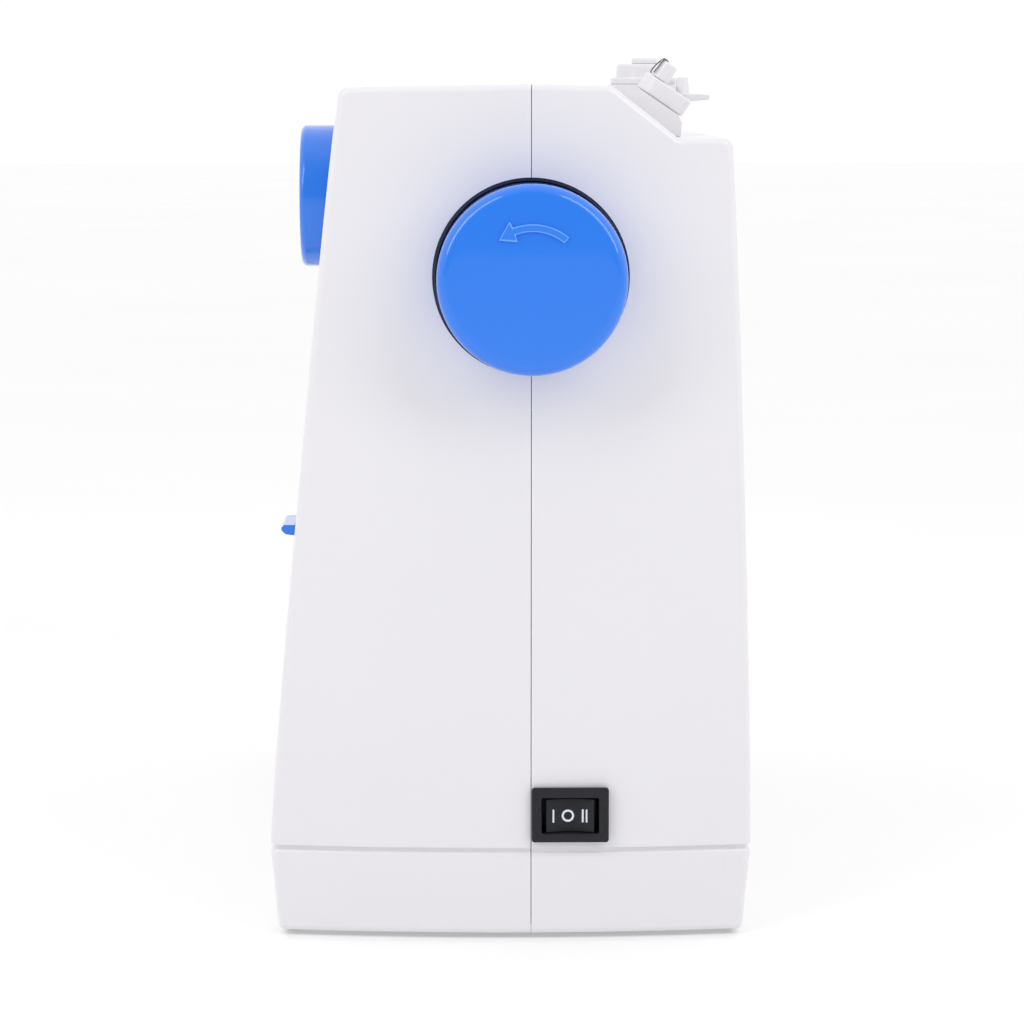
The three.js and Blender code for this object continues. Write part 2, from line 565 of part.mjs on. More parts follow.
function toothedOutline(teeth, radius, depth) {
  const outline = [];
  for (let i = 0; i < teeth; i += 1) {
    [[-0.28, radius - depth], [-0.14, radius], [0.14, radius], [0.28, radius - depth]].forEach(([s, r]) => {
      const angle = (2 * Math.PI * (i + s)) / teeth;
      outline.push(new THREE.Vector2(NEEDLE_X + r * Math.cos(angle), HOOK_Y + r * Math.sin(angle)));
    });
  }
  return outline;
}
const bobbinCase = () => turned([
  [0, 0], [14.8, 0], [14.8, 8.4], [12.6, 8.4], [12.6, 1.4], [0, 1.4]], AZ, [NEEDLE_X, HOOK_Y, 58.2], 28);
const bobbin = () => cut(turned([
  [0, 0], [10.2, 0], [10.2, 1], [4, 1.6], [4, 8.6], [10.2, 9.2], [10.2, 10.2], [0, 10.2]],
AZ, [NEEDLE_X, HOOK_Y, 59.8], 24),
rod(3, 30, AZ, [NEEDLE_X, HOOK_Y, 50], 20));
const lowerShaft = () => rod(3, 76 + 116, AX, [-116, SEAM, LOW_SHAFT_Z], 20);
const drivingGear = () => toothed(20, 8, 1.2, 3 + GAP, -112, -104, SEAM, LOW_SHAFT_Z);

// ---------------------------------------------------------------- extension table
const TABLE = { left: LEFT, right: COLUMN_LEFT - 0.6, floor: TRAY_TOP + GAP, side: WIDEST - 0.6 };
const STORE = { x0: -112, x1: 24, y0: -60.5, y1: -38.5, floor: 19 };
function extensionTable() {
  const { left, right, floor, side } = TABLE;
  const outer = rounded([[left, -side, 9], [right, -side, 0.5], [right, side, 0.5], [left, side, 9]], 4);
  const block = prismZ(outer, floor, BED);
  const channel = roundBox(
    FREE_ARM.left - 0.5, right + 40, FREE_ARM.front - 0.5, FREE_ARM.back + 0.5, 0, BED + 20,
    FREE_ARM.corner + 0.5, 4);
  const core = rounded([
    [left + 1, -side + 1, 8], [right + 20, -side + 1, 0], [right + 20, side - 1, 0], [left + 1, side - 1, 8]]);
  const groove = cut(
    box(left - 10, right + 10, -90, 90, SKIRT_TOP - 1.4, SKIRT_TOP + 0.1), prismZ(core, 0, BED));
  const store = roundBox(STORE.x0, STORE.x1, STORE.y0, STORE.y1, STORE.floor, BED + 10, 3);
  const rearHollow = box(-112, 24, 42, 60.5, floor - 5, BED - 3);
  const lidSeat = roundBox(STORE.x0 - 3, STORE.x1 + 3, STORE.y0 - 1.5, STORE.y1 + 1.5, BED - 2.3, BED + 5, 3);
  return cut(block, channel, groove, store, rearHollow, lidSeat);
}
const storageLid = () => roundBox(
  STORE.x0 - 2.7, STORE.x1 + 2.7, STORE.y0 - 1.2, STORE.y1 + 1.2, BED - 2, BED, 2.7);

// ---------------------------------------------------------------- controls
function patternDial() {
  const body = knob(DIAL.radius, 9.5, 1.5, [0, -1, 0], [DIAL.x, DIAL.face + 9.5, DIAL.z], 40, 0.3);
  const stem = rod(3, 22, AY, [DIAL.x, DIAL.face + 8, DIAL.z], 16);
  return join(body, stem);
}
const patternCam = () => {
  const outline = Array.from({ length: 48 }, (_, i) => {
    const angle = (2 * Math.PI * i) / 48;
    const radius = 14 + 1.4 * Math.sin(3 * angle);
    return new THREE.Vector2(DIAL.x + radius * Math.cos(angle), DIAL.z + radius * Math.sin(angle));
  });
  return prismY(outline, -38, -32, [circle(3 + GAP, 16, [DIAL.x, DIAL.z])]);
};
function reverseLever() {
  const { x0, x1, low, high, pivotY, pivotZ } = LEVER;
  const back = frontFace(low) - 0.5;
  const section = rounded([
    [back, low, 0], [back, high, 0], [-62.3, high, 0.8], [-63.1, low + 1.7, 0.7], [-61.7, low + 0.3, 1]], 3);
  const plan = rounded([[x0, -63.1, 3.5], [x1, -63.1, 1], [x1, -50, 0], [x0, -50, 0]]);
  const paddle = meet(prismX(section, x0, x1), prismZ(plan, low - 1, high + 1));
  const neck = box(x0 + 5, x1 - 5, back - 0.2, pivotY, low, high - 0.1);
  const hub = rod(4, x1 - x0 - 10, AX, [x0 + 5, pivotY, pivotZ], 20);
  const web = box(x0 + 5, x1 - 5, pivotY - 3.5, pivotY + 2.5, pivotZ, high - 0.1);
  return cut(join(paddle, neck, hub, web), rod(2 + GAP, 60, AX, [x0, pivotY, pivotZ], 16));
}
const leverPin = () => rod(2, LEVER.x1 - LEVER.x0 - 2, AX, [LEVER.x0 + 1, LEVER.pivotY, LEVER.pivotZ], 16);
const tensionDial = () =>
  ring(3 + GAP, TENSION.radius, 8, AX, [TENSION.x - 4, TENSION.y, TENSION.z], 28);
const tensionPin = () => join(rod(3, 26, AX, [TENSION.x - 12, TENSION.y, TENSION.z], 16),
  rod(6.5, 2, AX, [TENSION.x + 5, TENSION.y, TENSION.z], 20));

function switchHousing() {
  const { y0, y1, z0, z1 } = SWITCH;
  const frame = rounded([[y0, z0, 0.8], [y1, z0, 0.8], [y1, z1, 0.8], [y0, z1, 0.8]], 3);
  const bezel = prismX(frame, RIGHT + GAP - 0.1, RIGHT + 1.6);
  const body = box(RIGHT - 14, RIGHT + 1, y0 + 1.6, y1 - 1.9, z0 + 1.9, z1 - 1.9);
  const pocket = box(RIGHT - 8, RIGHT + 5, y0 + 2.9, y1 - 2.9, z0 + 2.9, z1 - 2.9);
  return cut(join(bezel, body), pocket);
}
function powerRocker() {
  const { y0, y1, z0, z1 } = SWITCH;
  const middle = (y0 + y1) / 2;
  const half = (y1 - y0) / 2 - 3.9;
  const outline = [[middle - half, RIGHT - 1], [middle, RIGHT - 0.2], [middle + half, RIGHT - 1],
    [middle + half - 0.4, RIGHT - 5], [middle - half + 0.4, RIGHT - 5]];
  return prismZ(outline.map(([y, x]) => new THREE.Vector2(x, y)), z0 + 3.2, z1 - 3.2);
}

// ---------------------------------------------------------------- winder and spool pin
const SLANT = Math.atan2(8.5, 12.6);
const WINDER = { x: 75, lean: [0, Math.sin(SLANT), Math.cos(SLANT)] };
const stepZ = (y) => TOP - 0.4 - (y - 26.7) * (TOP - 0.2 - LEDGE) / 17.8;
function winderPlinth() {
  const ledge = LEDGE + GAP - 0.2;
  const foot = [[44.7, ledge], [29, stepZ(29) + GAP]];
  const slanted = [[27.5, 230.9], [34.3, 230.85], [46.5, 222.6], [47.5, 220.5], [47.3, ledge], ...foot];
  const level = [[27.5, 230.9], [47.5, 230.9], [48, ledge], ...foot];
  const outline = (points) => points.map(([y, z]) => new THREE.Vector2(y, z));
  const whole = join(prismX(outline(slanted), 63, 89), prismX(outline(level), 41, 63.5));
  const stopHole = rod(1.7, 12, AZ, [60, 43.5, 222], 16);
  return cut(whole, rod(3.4, 40, AZ, [SPOOL.x, SPOOL.y, 205], 20), stopHole);
}

// Position on the slanted carriage: u along the slope towards the back, h above the plinth.
function onSlope(u, h) {
  const y = 36 + u * Math.cos(SLANT) + h * Math.sin(SLANT);
  const z = 229.85 - u * Math.sin(SLANT) + h * Math.cos(SLANT);
  return [y, z];
}
const SPINDLE_U = 3.6;
function winderCarriage() {
  const plan = rounded([[-5.2, -0.5, 4.8], [5.2, -0.5, 4.8], [5.2, 14.4, 1.5], [-5.2, 14.4, 1.5]], 6);
  const plate = extrude(plan, 4.3).rotateX(-SLANT).translate(WINDER.x, ...onSlope(0, GAP));
  return cut(plate, rod(1.5 + GAP, 14, WINDER.lean, [WINDER.x, ...onSlope(SPINDLE_U, -2)], 16));
}
function winderSpindle() {
  const profile = [[0, -4.6], [1.5, -4.6], [1.5, 0], [2.4, 0], [2.4, 5.3], [2, 5.7], [0, 5.7]];
  const top = turned(profile, WINDER.lean, [WINDER.x, ...onSlope(SPINDLE_U, 4.9)], 20);
  const path = [[SPINDLE_U, 10.4], [0, 8.5], [-1.6, 5.9], [2.2, 6.1]];
  return join(top, wire(path.map(([u, h]) => [WINDER.x, ...onSlope(u, h)]), 0.3, 10, 6));
}
function winderStop() {
  const section = rounded([[47.9, 226.6, 0], [57.2, 227.2, 0.4], [57.2, 228.5, 0.4], [47.9, 228.8, 0]], 2);
  const peg = turned([[0, 0], [2, 0], [1.7, 4.4], [1.2, 5], [0, 5]], AZ, [60, 50.2, 228.4], 16);
  return join(prismX(section, 58.5, 61.5), peg);
}
const spoolSeat = () => turned([
  [3 + GAP, 0], [9.6, 0], [9.6, 1.5], [8, 1.7], [8, 4.6], [7.3, 5.3], [3 + GAP, 5.3], [3 + GAP, 0]],
AZ, [SPOOL.x, SPOOL.y, 231.2], 28);
const spoolPin = () => turned([
  [0, 0], [2.2, 0], [3, 1], [3, 44.5], [3.7, 44.5], [3.7, 45.8], [3.3, 46.1], [0, 46.1]],
AZ, [SPOOL.x, SPOOL.y, 192.3], 20);

// ---------------------------------------------------------------- electrics
const lampLens = () => roundBox(
  LAMP.x0 + GAP, LAMP.x1 - GAP, LAMP.y0 + GAP, LAMP.y1 - GAP, ARM_BOTTOM + 0.4, ARM_BOTTOM + 2.6, 1.7);
const circuitBoard = () => box(92, 94, -48, -8, 20, 84);
function jack(x, bore) {
  const profile = [
    [0, -12], [7.2, -12], [7.2, -3.2], [5.1, -3.2], [5.1, -0.4], [bore, -0.4], [bore, -9], [0, -9]];
  return turned(profile, AY, [x, backFace(JACK_Z), JACK_Z], 20);
}

// ---------------------------------------------------------------- assembly
const shells = casing();
const pieces = [
  ['front_shell', shells.front_shell, plastic(WHITE, 0.3)],
  ['rear_shell', shells.rear_shell, plastic(WHITE, 0.3)],
  ['bottom_plate', bottomPlate(), plastic(GREY, 0.6)],
  ['foot_front_left', rubberFoot(-118, -46), plastic(BLACK, 0.9)],
  ['foot_front_right', rubberFoot(98, -46), plastic(BLACK, 0.9)],
  ['foot_rear_left', rubberFoot(-118, 46), plastic(BLACK, 0.9)],
  ['foot_rear_right', rubberFoot(98, 46), plastic(BLACK, 0.9)],
  ['frame_casting', frameCasting(), metal(IRON, 0.6)],
  ['bush_right', bush(72, 14), metal(STEEL, 0.4)],
  ['bush_left', bush(-82, 12), metal(STEEL, 0.4)],
  ['hand_wheel', handWheel(), plastic(BLUE, 0.25)],
  ['wheel_cup', wheelCup(), plastic(BLACK, 0.6)],
  ['main_shaft', mainShaft(), metal(STEEL, 0.3)],
  ['belt_pulley', beltWheel(BELT_PULLEY, 4 + GAP), plastic(BLACK, 0.5)],
  ['motor_pulley', beltWheel(MOTOR, 2 + GAP), plastic(BLACK, 0.5)],
  ['drive_belt', belt(BELT_PULLEY, MOTOR, 1.2, 100, 103), plastic(BLACK, 0.9)],
  ['motor', motorBody(), metal(GREY, 0.4)],
  ['upper_timing_gear', timingGear(SHAFT_Z, 4 + GAP), plastic(WHITE, 0.5)],
  ['lower_timing_gear', timingGear(LOW_SHAFT_Z, 3 + GAP), plastic(WHITE, 0.5)],
  ['timing_belt', timingBelt(), plastic(BLACK, 0.9)],
  ['lower_shaft', lowerShaft(), metal(STEEL, 0.3)],
  ['driving_gear', drivingGear(), metal(STEEL, 0.4)],
  ['hook_gear', hookGear(), plastic(WHITE, 0.5)],
  ['hook', hook(), metal(STEEL, 0.3)],
  ['bobbin_case', bobbinCase(), plastic(BLACK, 0.4)],
  ['bobbin', bobbin(), plastic(WHITE, 0.2)],
  ['crank_disc', crankDisc(), metal(IRON, 0.5)],
  ['take_up_pivot', takeUpPivot(), metal(STEEL, 0.4)],
  ['take_up_lever', takeUpLever(), metal(STEEL, 0.3)],
  ['needle_bar', needleBar(), metal(STEEL, 0.2)],
  ['needle_clamp', needleClamp(), metal(STEEL, 0.3)],
  ['clamp_screw', clampScrew(), metal(STEEL, 0.3)],
  ['needle', needle(), metal(STEEL, 0.2)],
  ['presser_bar', presserBar(), metal(STEEL, 0.2)],
  ['foot_shank', footShank(), metal(STEEL, 0.3)],
  ['shank_screw', shankScrew(), metal(STEEL, 0.3)],
  ['presser_foot', presserFoot(), metal(STEEL, 0.25)],
  ['lifter_pin', lifterPin(), metal(STEEL, 0.4)],
  ['presser_lifter', presserLifter(), plastic(BLACK, 0.5)],
  ['needle_plate', needlePlate(), metal(STEEL, 0.3)],
  ['feed_dog', feedDog(), metal(STEEL, 0.4)],
  ['bobbin_cover', bobbinCover(), plastic(GREY, 0.2)],
  ['extension_table', extensionTable(), plastic(WHITE, 0.3)],
  ['storage_lid', storageLid(), plastic(WHITE, 0.3)],
  ['pattern_dial', patternDial(), plastic(BLUE, 0.25)],
  ['pattern_cam', patternCam(), plastic(WHITE, 0.5)],
  ['lever_pin', leverPin(), metal(STEEL, 0.4)],
  ['reverse_lever', reverseLever(), plastic(BLUE, 0.25)],
  ['tension_pin', tensionPin(), metal(STEEL, 0.4)],
  ['tension_dial', tensionDial(), plastic(BLUE, 0.3)],
  ['switch_housing', switchHousing(), plastic(BLACK, 0.4)],
  ['power_rocker', powerRocker(), plastic(BLACK, 0.4)],
  ['winder_plinth', winderPlinth(), plastic(WHITE, 0.3)],
  ['winder_carriage', winderCarriage(), plastic(WHITE, 0.3)],
  ['winder_spindle', winderSpindle(), plastic(WHITE, 0.3)],
  ['winder_stop', winderStop(), plastic(WHITE, 0.3)],
  ['spool_seat', spoolSeat(), plastic(WHITE, 0.3)],
  ['spool_pin', spoolPin(), plastic(WHITE, 0.3)],
  ['lamp_lens', lampLens(), plastic(0xf6f3e6, 0.1)],
  ['power_jack', jack(POWER_JACK_X, 3), plastic(BLACK, 0.5)],
];

const machine = new THREE.Group();
pieces.forEach(([name, geometry, material]) => {
  const mesh = new THREE.Mesh(geometry, material);
  mesh.name = name;
  machine.add(mesh);
});
export default machine;
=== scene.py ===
"""A compact household sewing machine, seen in the main view from its hand-wheel end.

Lengths below are millimetres unless a name ends in _m. +X runs to the hand-wheel end,
-Y is the operator's side, +Z is up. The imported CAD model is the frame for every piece.
"""
import math

import bmesh
import bpy
from mathutils import Matrix, Vector


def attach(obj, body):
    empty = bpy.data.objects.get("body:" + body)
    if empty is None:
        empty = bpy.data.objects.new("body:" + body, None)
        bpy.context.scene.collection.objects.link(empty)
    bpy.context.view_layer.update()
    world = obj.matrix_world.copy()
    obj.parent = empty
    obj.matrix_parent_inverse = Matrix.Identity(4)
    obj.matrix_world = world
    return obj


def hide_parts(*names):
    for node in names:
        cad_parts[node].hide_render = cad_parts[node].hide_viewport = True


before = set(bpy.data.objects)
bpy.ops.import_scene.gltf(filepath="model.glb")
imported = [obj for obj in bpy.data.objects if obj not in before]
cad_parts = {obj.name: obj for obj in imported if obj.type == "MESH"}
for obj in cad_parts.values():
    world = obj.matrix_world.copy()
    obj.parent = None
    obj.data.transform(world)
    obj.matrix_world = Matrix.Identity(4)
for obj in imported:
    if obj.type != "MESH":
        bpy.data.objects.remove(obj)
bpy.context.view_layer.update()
MM = 0.001

# ------------------------------------------------------------------ driving dimensions
LEFT, RIGHT = -144.4, 125.0
SEAM = 5.2
PARTING = 5.3
WIDEST, WIDEST_BACK = 65.7, 65.45
TOP = 231.0
UNDERSIDE = 1.5
WALL = 2.5
SKIRT_TOP = 25.0
COLUMN_LEFT = 35.0
ARM_BOTTOM = 150.0
HEAD_BOTTOM = 110.0
HEAD_RIGHT = -75.0
TRAY_TOP = 14.0
BED = 72.0
ARM_FLOOR = 30.0
SHAFT_Z = 180.2

FRONT_TOP = -45.6
BACK_TOP = 58.95
LEDGE = 216.9
FACE_BULGE, BACK_BULGE = 1.05, 0.88
SKIRT_TAPER = 2.2
END_BOW = 4.9
EDGE = 3.0
END_EDGE = 1.9

WHEEL_RADIUS, WELL_RADIUS, WHEEL_INNER, WHEEL_FACE = 25.1, 26.3, 114.0, 144.4
DIAL_X, DIAL_Z, DIAL_RADIUS, DIAL_FACE = 90.0, 200.6, 19.3, -56.9
DIAL_STEM_HOLE = 4.0
LEVER_X0, LEVER_X1, LEVER_LOW, LEVER_HIGH = 79.0, 101.0, 107.9, 110.8
LEVER_PIVOT_Y, LEVER_PIVOT_Z = -36.0, 103.5
SWITCH_Y0, SWITCH_Y1, SWITCH_Z0, SWITCH_Z1 = 5.45, 26.35, 27.2, 42.2
TENSION_X, TENSION_Y, TENSION_Z, TENSION_RADIUS = -57.0, -38.5, 200.0, 14.0
TAKE_UP_X = -100.0
SPOOL_X, SPOOL_Y = 52.0, 39.2
FREE_LEFT, FREE_FRONT, FREE_BACK, FREE_CORNER = -130.0, -34.0, 38.0, 12.0
PLATE_X0, PLATE_X1, COVER_Y0, PLATE_Y1 = -119.0, -80.0, -31.2, 33.0
LAMP_X0, LAMP_X1, LAMP_Y0, LAMP_Y1 = -70.0, -46.0, -30.0, -8.0
JACK_Z, POWER_JACK_X, PEDAL_JACK_X = 46.0, 96.0, 76.0
WINDER_X = 75.0
SLANT = math.atan2(8.5, 12.6)
SLOPE_Y, SLOPE_Z = 36.0, 229.85
SPINDLE_U, SPINDLE_H = 3.7, 5.5


# ------------------------------------------------------------------ node helpers
def srgb(red, green, blue):
    """A colour given as 0-255 screen values, as linear RGBA."""
    def linear(value):
        value /= 255
        return value / 12.92 if value <= 0.04045 else ((value + 0.055) / 1.055) ** 2.4
    return (linear(red), linear(green), linear(blue), 1.0)


def shade(colour, factor):
    return tuple(min(1.0, channel * factor) for channel in colour[:3]) + (1.0,)


class Finish:
    """A material's node tree, with short calls for the nodes that the finishes share."""

    def __init__(self, name):
        self.material = bpy.data.materials.new(name)
        self.material.use_nodes = True
        self.tree = self.material.node_tree
        self.shader = self.tree.nodes["Principled BSDF"]
        self.coords = self.node("ShaderNodeTexCoord").outputs["Object"]

    def node(self, kind, **values):
        made = self.tree.nodes.new(kind)
        for key, value in values.items():
            setattr(made, key, value)
        return made

    def link(self, source, target):
        self.tree.links.new(source, target)

    def feed(self, key, source):
        """Feeds one of the shader's inputs from a node."""
        self.link(source, self.shader.inputs[key])

    def set(self, **values):
        for key, value in values.items():
            self.shader.inputs[key.replace("_", " ")].default_value = value

    def noise(self, scale, detail=4.0, roughness=0.5, stretch=(1, 1, 1)):
        mapping = self.node("ShaderNodeMapping")
        mapping.inputs["Scale"].default_value = stretch
        self.link(self.coords, mapping.inputs["Vector"])
        made = self.node("ShaderNodeTexNoise")
        made.inputs["Scale"].default_value = scale
        made.inputs["Detail"].default_value = detail
        made.inputs["Roughness"].default_value = roughness
        self.link(mapping.outputs["Vector"], made.inputs["Vector"])
        return made.outputs["Fac"]

    def spread(self, source, low, high, start=0.2, end=0.8):
        """A value that goes from low to high as the source goes from start to end."""
        made = self.node("ShaderNodeMapRange", interpolation_type="SMOOTHSTEP")
        for key, value in (("From Min", start), ("From Max", end), ("To Min", low), ("To Max", high)):
            made.inputs[key].default_value = value
        self.link(source, made.inputs["Value"])
        return made.outputs["Result"]

    def mix(self, factor, first, second):
        made = self.node("ShaderNodeMix", data_type="RGBA")
        self.link(factor, made.inputs["Factor"])
        for socket, value in ((made.inputs["A"], first), (made.inputs["B"], second)):
            if isinstance(value, tuple):
                socket.default_value = value
            else:
                self.link(value, socket)
        return made.outputs["Result"]

    def bump(self, height, strength, distance_m):
        made = self.node("ShaderNodeBump")
        made.inputs["Strength"].default_value = strength
        made.inputs["Distance"].default_value = distance_m
        self.link(height, made.inputs["Height"])
        self.link(made.outputs["Normal"], self.shader.inputs["Normal"])


# ------------------------------------------------------------------ finishes
def moulded(name, colour, rough, coat=0.0, grain=0.03, tint=0.02, specular=0.5):
    """Injection-moulded plastic: faint tone drift, uneven polish, fine flow texture."""
    made = Finish(name)
    drift = made.noise(14, 3)
    tone = made.mix(made.spread(drift, 0, 1), shade(colour, 1 - tint), shade(colour, 1 + tint))
    made.feed("Base Color", tone)
    made.feed("Roughness", made.spread(made.noise(60, 6), rough * 0.95, rough * 1.15))
    made.set(Coat_Weight=coat, Coat_Roughness=0.05, Specular_IOR_Level=specular)
    made.bump(made.noise(260, 2), grain, 0.0004)
    return made.material


def satin_black(name, colour, rough, specular=0.25):
    """Black plastic with a spark-eroded texture."""
    made = Finish(name)
    speck = made.noise(1600, 2, 0.6)
    made.feed("Base Color", made.mix(made.spread(speck, 0, 1), shade(colour, 0.8), shade(colour, 1.35)))
    made.feed("Roughness", made.spread(made.noise(90, 4), rough * 0.85, rough * 1.15))
    made.set(Specular_IOR_Level=specular)
    made.bump(speck, 0.12, 0.0002)
    return made.material


def ground_metal(name, colour, rough, stretch=(1, 1, 30)):
    """Ground or drawn metal: fine lines along one axis and small stains."""
    made = Finish(name)
    lines = made.noise(500, 5, 0.6, stretch)
    stain = made.noise(55, 5)
    tone = made.mix(made.spread(stain, 0, 1), shade(colour, 0.86), shade(colour, 1.08))
    made.feed("Base Color", made.mix(made.spread(lines, 0, 0.4), tone, shade(colour, 0.7)))
    made.feed("Roughness", made.spread(stain, rough * 0.75, rough * 1.3))
    made.set(Metallic=1.0)
    made.bump(lines, 0.06, 0.0002)
    return made.material


def cast_metal(name, colour, rough):
    """Cast metal with small pits."""
    made = Finish(name)
    pits = made.noise(320, 6, 0.65)
    made.feed("Base Color", made.mix(made.spread(pits, 0, 1), shade(colour, 0.7), shade(colour, 1.15)))
    made.feed("Roughness", made.spread(pits, rough * 0.8, rough * 1.2))
    made.set(Metallic=0.9)
    made.bump(pits, 0.35, 0.0005)
    return made.material


def soft_rubber(name, colour):
    """Matt black rubber with a bloom of dust."""
    made = Finish(name)
    dust = made.noise(150, 6)
    made.feed("Base Color", made.mix(made.spread(dust, 0, 1), colour, shade(colour, 1.9)))
    made.feed("Roughness", made.spread(dust, 0.65, 0.9))
    made.bump(made.noise(900, 3), 0.2, 0.0003)
    return made.material


def clear_plastic(name, colour, rough):
    """Clear or frosted plastic with a faint haze."""
    made = Finish(name)
    haze = made.noise(120, 4)
    made.feed("Base Color", made.mix(made.spread(haze, 0, 1), shade(colour, 0.97), colour))
    made.feed("Roughness", made.spread(haze, rough * 0.7, rough * 1.5))
    made.set(Transmission_Weight=0.75, IOR=1.49)
    made.bump(made.noise(300, 2), 0.02, 0.0003)
    return made.material


WHITE_TONE = srgb(232, 230, 234)
BLUE_TONE = srgb(12, 119, 235)
SHELL_WHITE = moulded("shell_white", WHITE_TONE, 0.31, coat=0.35, grain=0.008, tint=0.006)
TRIM_WHITE = moulded("trim_white", shade(WHITE_TONE, 0.99), 0.36, coat=0.1, grain=0.02, tint=0.01)
PLAIN_WHITE = moulded("plain_white", shade(WHITE_TONE, 0.94), 0.5, grain=0.08)
GLOSS_BLUE = moulded("gloss_blue", BLUE_TONE, 0.31, coat=1.0, grain=0.006, tint=0.012, specular=0.3)
# Lighter blue for the wheel arrow's outline: a painted highlight where the raised arrow's bevelled edges
# catch the light.
PAINTED_HIGHLIGHT_BLUE = moulded("painted_highlight_blue", srgb(92, 166, 255), 0.31, coat=0.4, grain=0.006, tint=0.02, specular=0.3)
SWITCH_BLACK = satin_black("switch_black", srgb(33, 34, 39), 0.42)
DEEP_BLACK = satin_black("deep_black", srgb(18, 18, 20), 0.6)
# Dark grey for the ring and cup in the hand wheel's well: painted shade for the gap round the wheel.
GAP_SHADE_GREY = satin_black("gap_shade_grey", srgb(84, 86, 98), 0.5)
PLAIN_GREY = moulded("plain_grey", srgb(168, 170, 176), 0.55, grain=0.12)
MARK_WHITE = moulded("mark_white", srgb(226, 230, 240), 0.5, grain=0.02)
STEEL = ground_metal("ground_steel", (0.62, 0.63, 0.65, 1), 0.2)
SPRING_STEEL = ground_metal("spring_steel", (0.2, 0.2, 0.22, 1), 0.2)
PLATED = ground_metal("plated_steel", (0.74, 0.75, 0.78, 1), 0.12, (1, 20, 1))
BED_STEEL = ground_metal("bed_steel", (0.66, 0.67, 0.69, 1), 0.2, (30, 1, 1))
CAST = cast_metal("cast_frame", (0.34, 0.35, 0.37, 1), 0.5)
RUBBER = soft_rubber("rubber_black", (0.02, 0.02, 0.021, 1))
CLEAR = clear_plastic("clear_plastic", (0.86, 0.9, 0.95, 1), 0.12)
LENS = clear_plastic("frosted_lens", (0.97, 0.96, 0.9, 1), 0.45)


# ------------------------------------------------------------------ outlines
def rounded(corners, steps=8):
    """Turns [(u, v, radius), ...] into an outline, each radius becoming an arc."""
    outline = []
    count = len(corners)
    for i, corner in enumerate(corners):
        here = Vector(corner[:2])
        radius = corner[2] if len(corner) > 2 else 0
        if radius <= 0:
            outline.append(here)
            continue
        back = (Vector(corners[i - 1][:2]) - here).normalized()
        on = (Vector(corners[(i + 1) % count][:2]) - here).normalized()
        half = math.acos(max(-1, min(1, back.dot(on)))) / 2
        middle = here + (back + on).normalized() * radius / math.sin(half)
        reach = radius / math.tan(half)
        start = here + back * reach - middle
        end = here + on * reach - middle
        sweep = start.angle_signed(end)
        for k in range(steps + 1):
            turn = -sweep * k / steps
            outline.append(middle + Vector((
                start.x * math.cos(turn) - start.y * math.sin(turn),
                start.x * math.sin(turn) + start.y * math.cos(turn))))
    return outline


def rectangle(u0, v0, u1, v1, radius=0.0, steps=8):
    return rounded([(u0, v0, radius), (u1, v0, radius), (u1, v1, radius), (u0, v1, radius)], steps)


def circle(radius, count, u=0.0, v=0.0):
    turns = [2 * math.pi * i / count for i in range(count)]
    return [Vector((u + radius * math.cos(turn), v + radius * math.sin(turn))) for turn in turns]


def bowed(t):
    return FACE_BULGE * (1 - (2 * t - 1) ** 4)


def front_face(z):
    t = (z - SKIRT_TOP) / (TOP - SKIRT_TOP)
    return -WIDEST + (WIDEST + FRONT_TOP) * t - bowed(t)


def back_face(z):
    t = (z - SKIRT_TOP) / (LEDGE - SKIRT_TOP)
    return WIDEST_BACK - (WIDEST_BACK - BACK_TOP) * t + BACK_BULGE * (1 - abs(2 * t - 1) ** 3)


def end_bow(y):
    return END_BOW * ((y - SEAM) / WIDEST) ** 2


def side_corners(inset, floor):
    """The casing's corners seen from its right end, moved inwards by inset."""
    low_levels = [28, 32, 37, 43]
    levels = low_levels + [25 + 24 * k for k in range(1, 8)]
    turn = inset * 0.34
    crown = 0.8
    edge = max(EDGE - inset, 0.25)
    small = max(1.5 - inset, 0.25)
    taper = SKIRT_TAPER + inset
    corners = [(-WIDEST + taper, floor + inset, small), (WIDEST_BACK - taper, floor + inset, small)]
    corners += [(WIDEST_BACK - inset, SKIRT_TOP, 0)]
    corners += [(back_face(z) - inset, z, 0) for z in levels + [204]]
    corners += [(BACK_TOP - inset, LEDGE - inset, edge), (44.5 - turn, LEDGE - 0.2 - inset, 2.5),
                (26.7 - turn, TOP - crown / 2 - inset, 2.5), (SEAM, TOP - inset, 0),
                (FRONT_TOP + inset, TOP - crown - inset, edge)]
    corners += [(front_face(z) + inset, z, 0) for z in reversed(levels + [206, 217])]
    corners += [(-WIDEST + inset, SKIRT_TOP, 0)]
    return corners


def resampled(outline, spans):
    points = []
    for i, span in enumerate(spans):
        here, there = outline[i], outline[(i + 1) % len(outline)]
        points += [here.lerp(there, k / span) for k in range(span)]
    return points


# ------------------------------------------------------------------ mesh helpers
def from_bmesh(name, made):
    mesh = bpy.data.meshes.new(name)
    bmesh.ops.recalc_face_normals(made, faces=made.faces)
    made.to_mesh(mesh)
    made.free()
    piece = bpy.data.objects.new(name, mesh)
    bpy.context.scene.collection.objects.link(piece)
    return piece


def from_rings(name, rings, closed=False):
    """A solid skin over rings of points in millimetres; the end rings are capped unless closed."""
    made = bmesh.new()
    rows = [[made.verts.new(Vector(point) * MM) for point in ring] for ring in rings]
    pairs = list(zip(rows, rows[1:]))
    if closed:
        pairs.append((rows[-1], rows[0]))
    for low, high in pairs:
        for i in range(len(low)):
            j = (i + 1) % len(low)
            made.faces.new((low[i], low[j], high[j], high[i]))
    if not closed:
        made.faces.new(rows[0])
        made.faces.new(rows[-1])
    return from_bmesh(name, made)


def prism_x(name, outline, x0, x1):
    return from_rings(name, [[(x, p[0], p[1]) for p in outline] for x in (x0, x1)])


def prism_y(name, outline, y0, y1):
    return from_rings(name, [[(p[0], y, p[1]) for p in outline] for y in (y0, y1)])


def prism_z(name, outline, z0, z1):
    return from_rings(name, [[(p[0], p[1], z) for p in outline] for z in (z0, z1)])


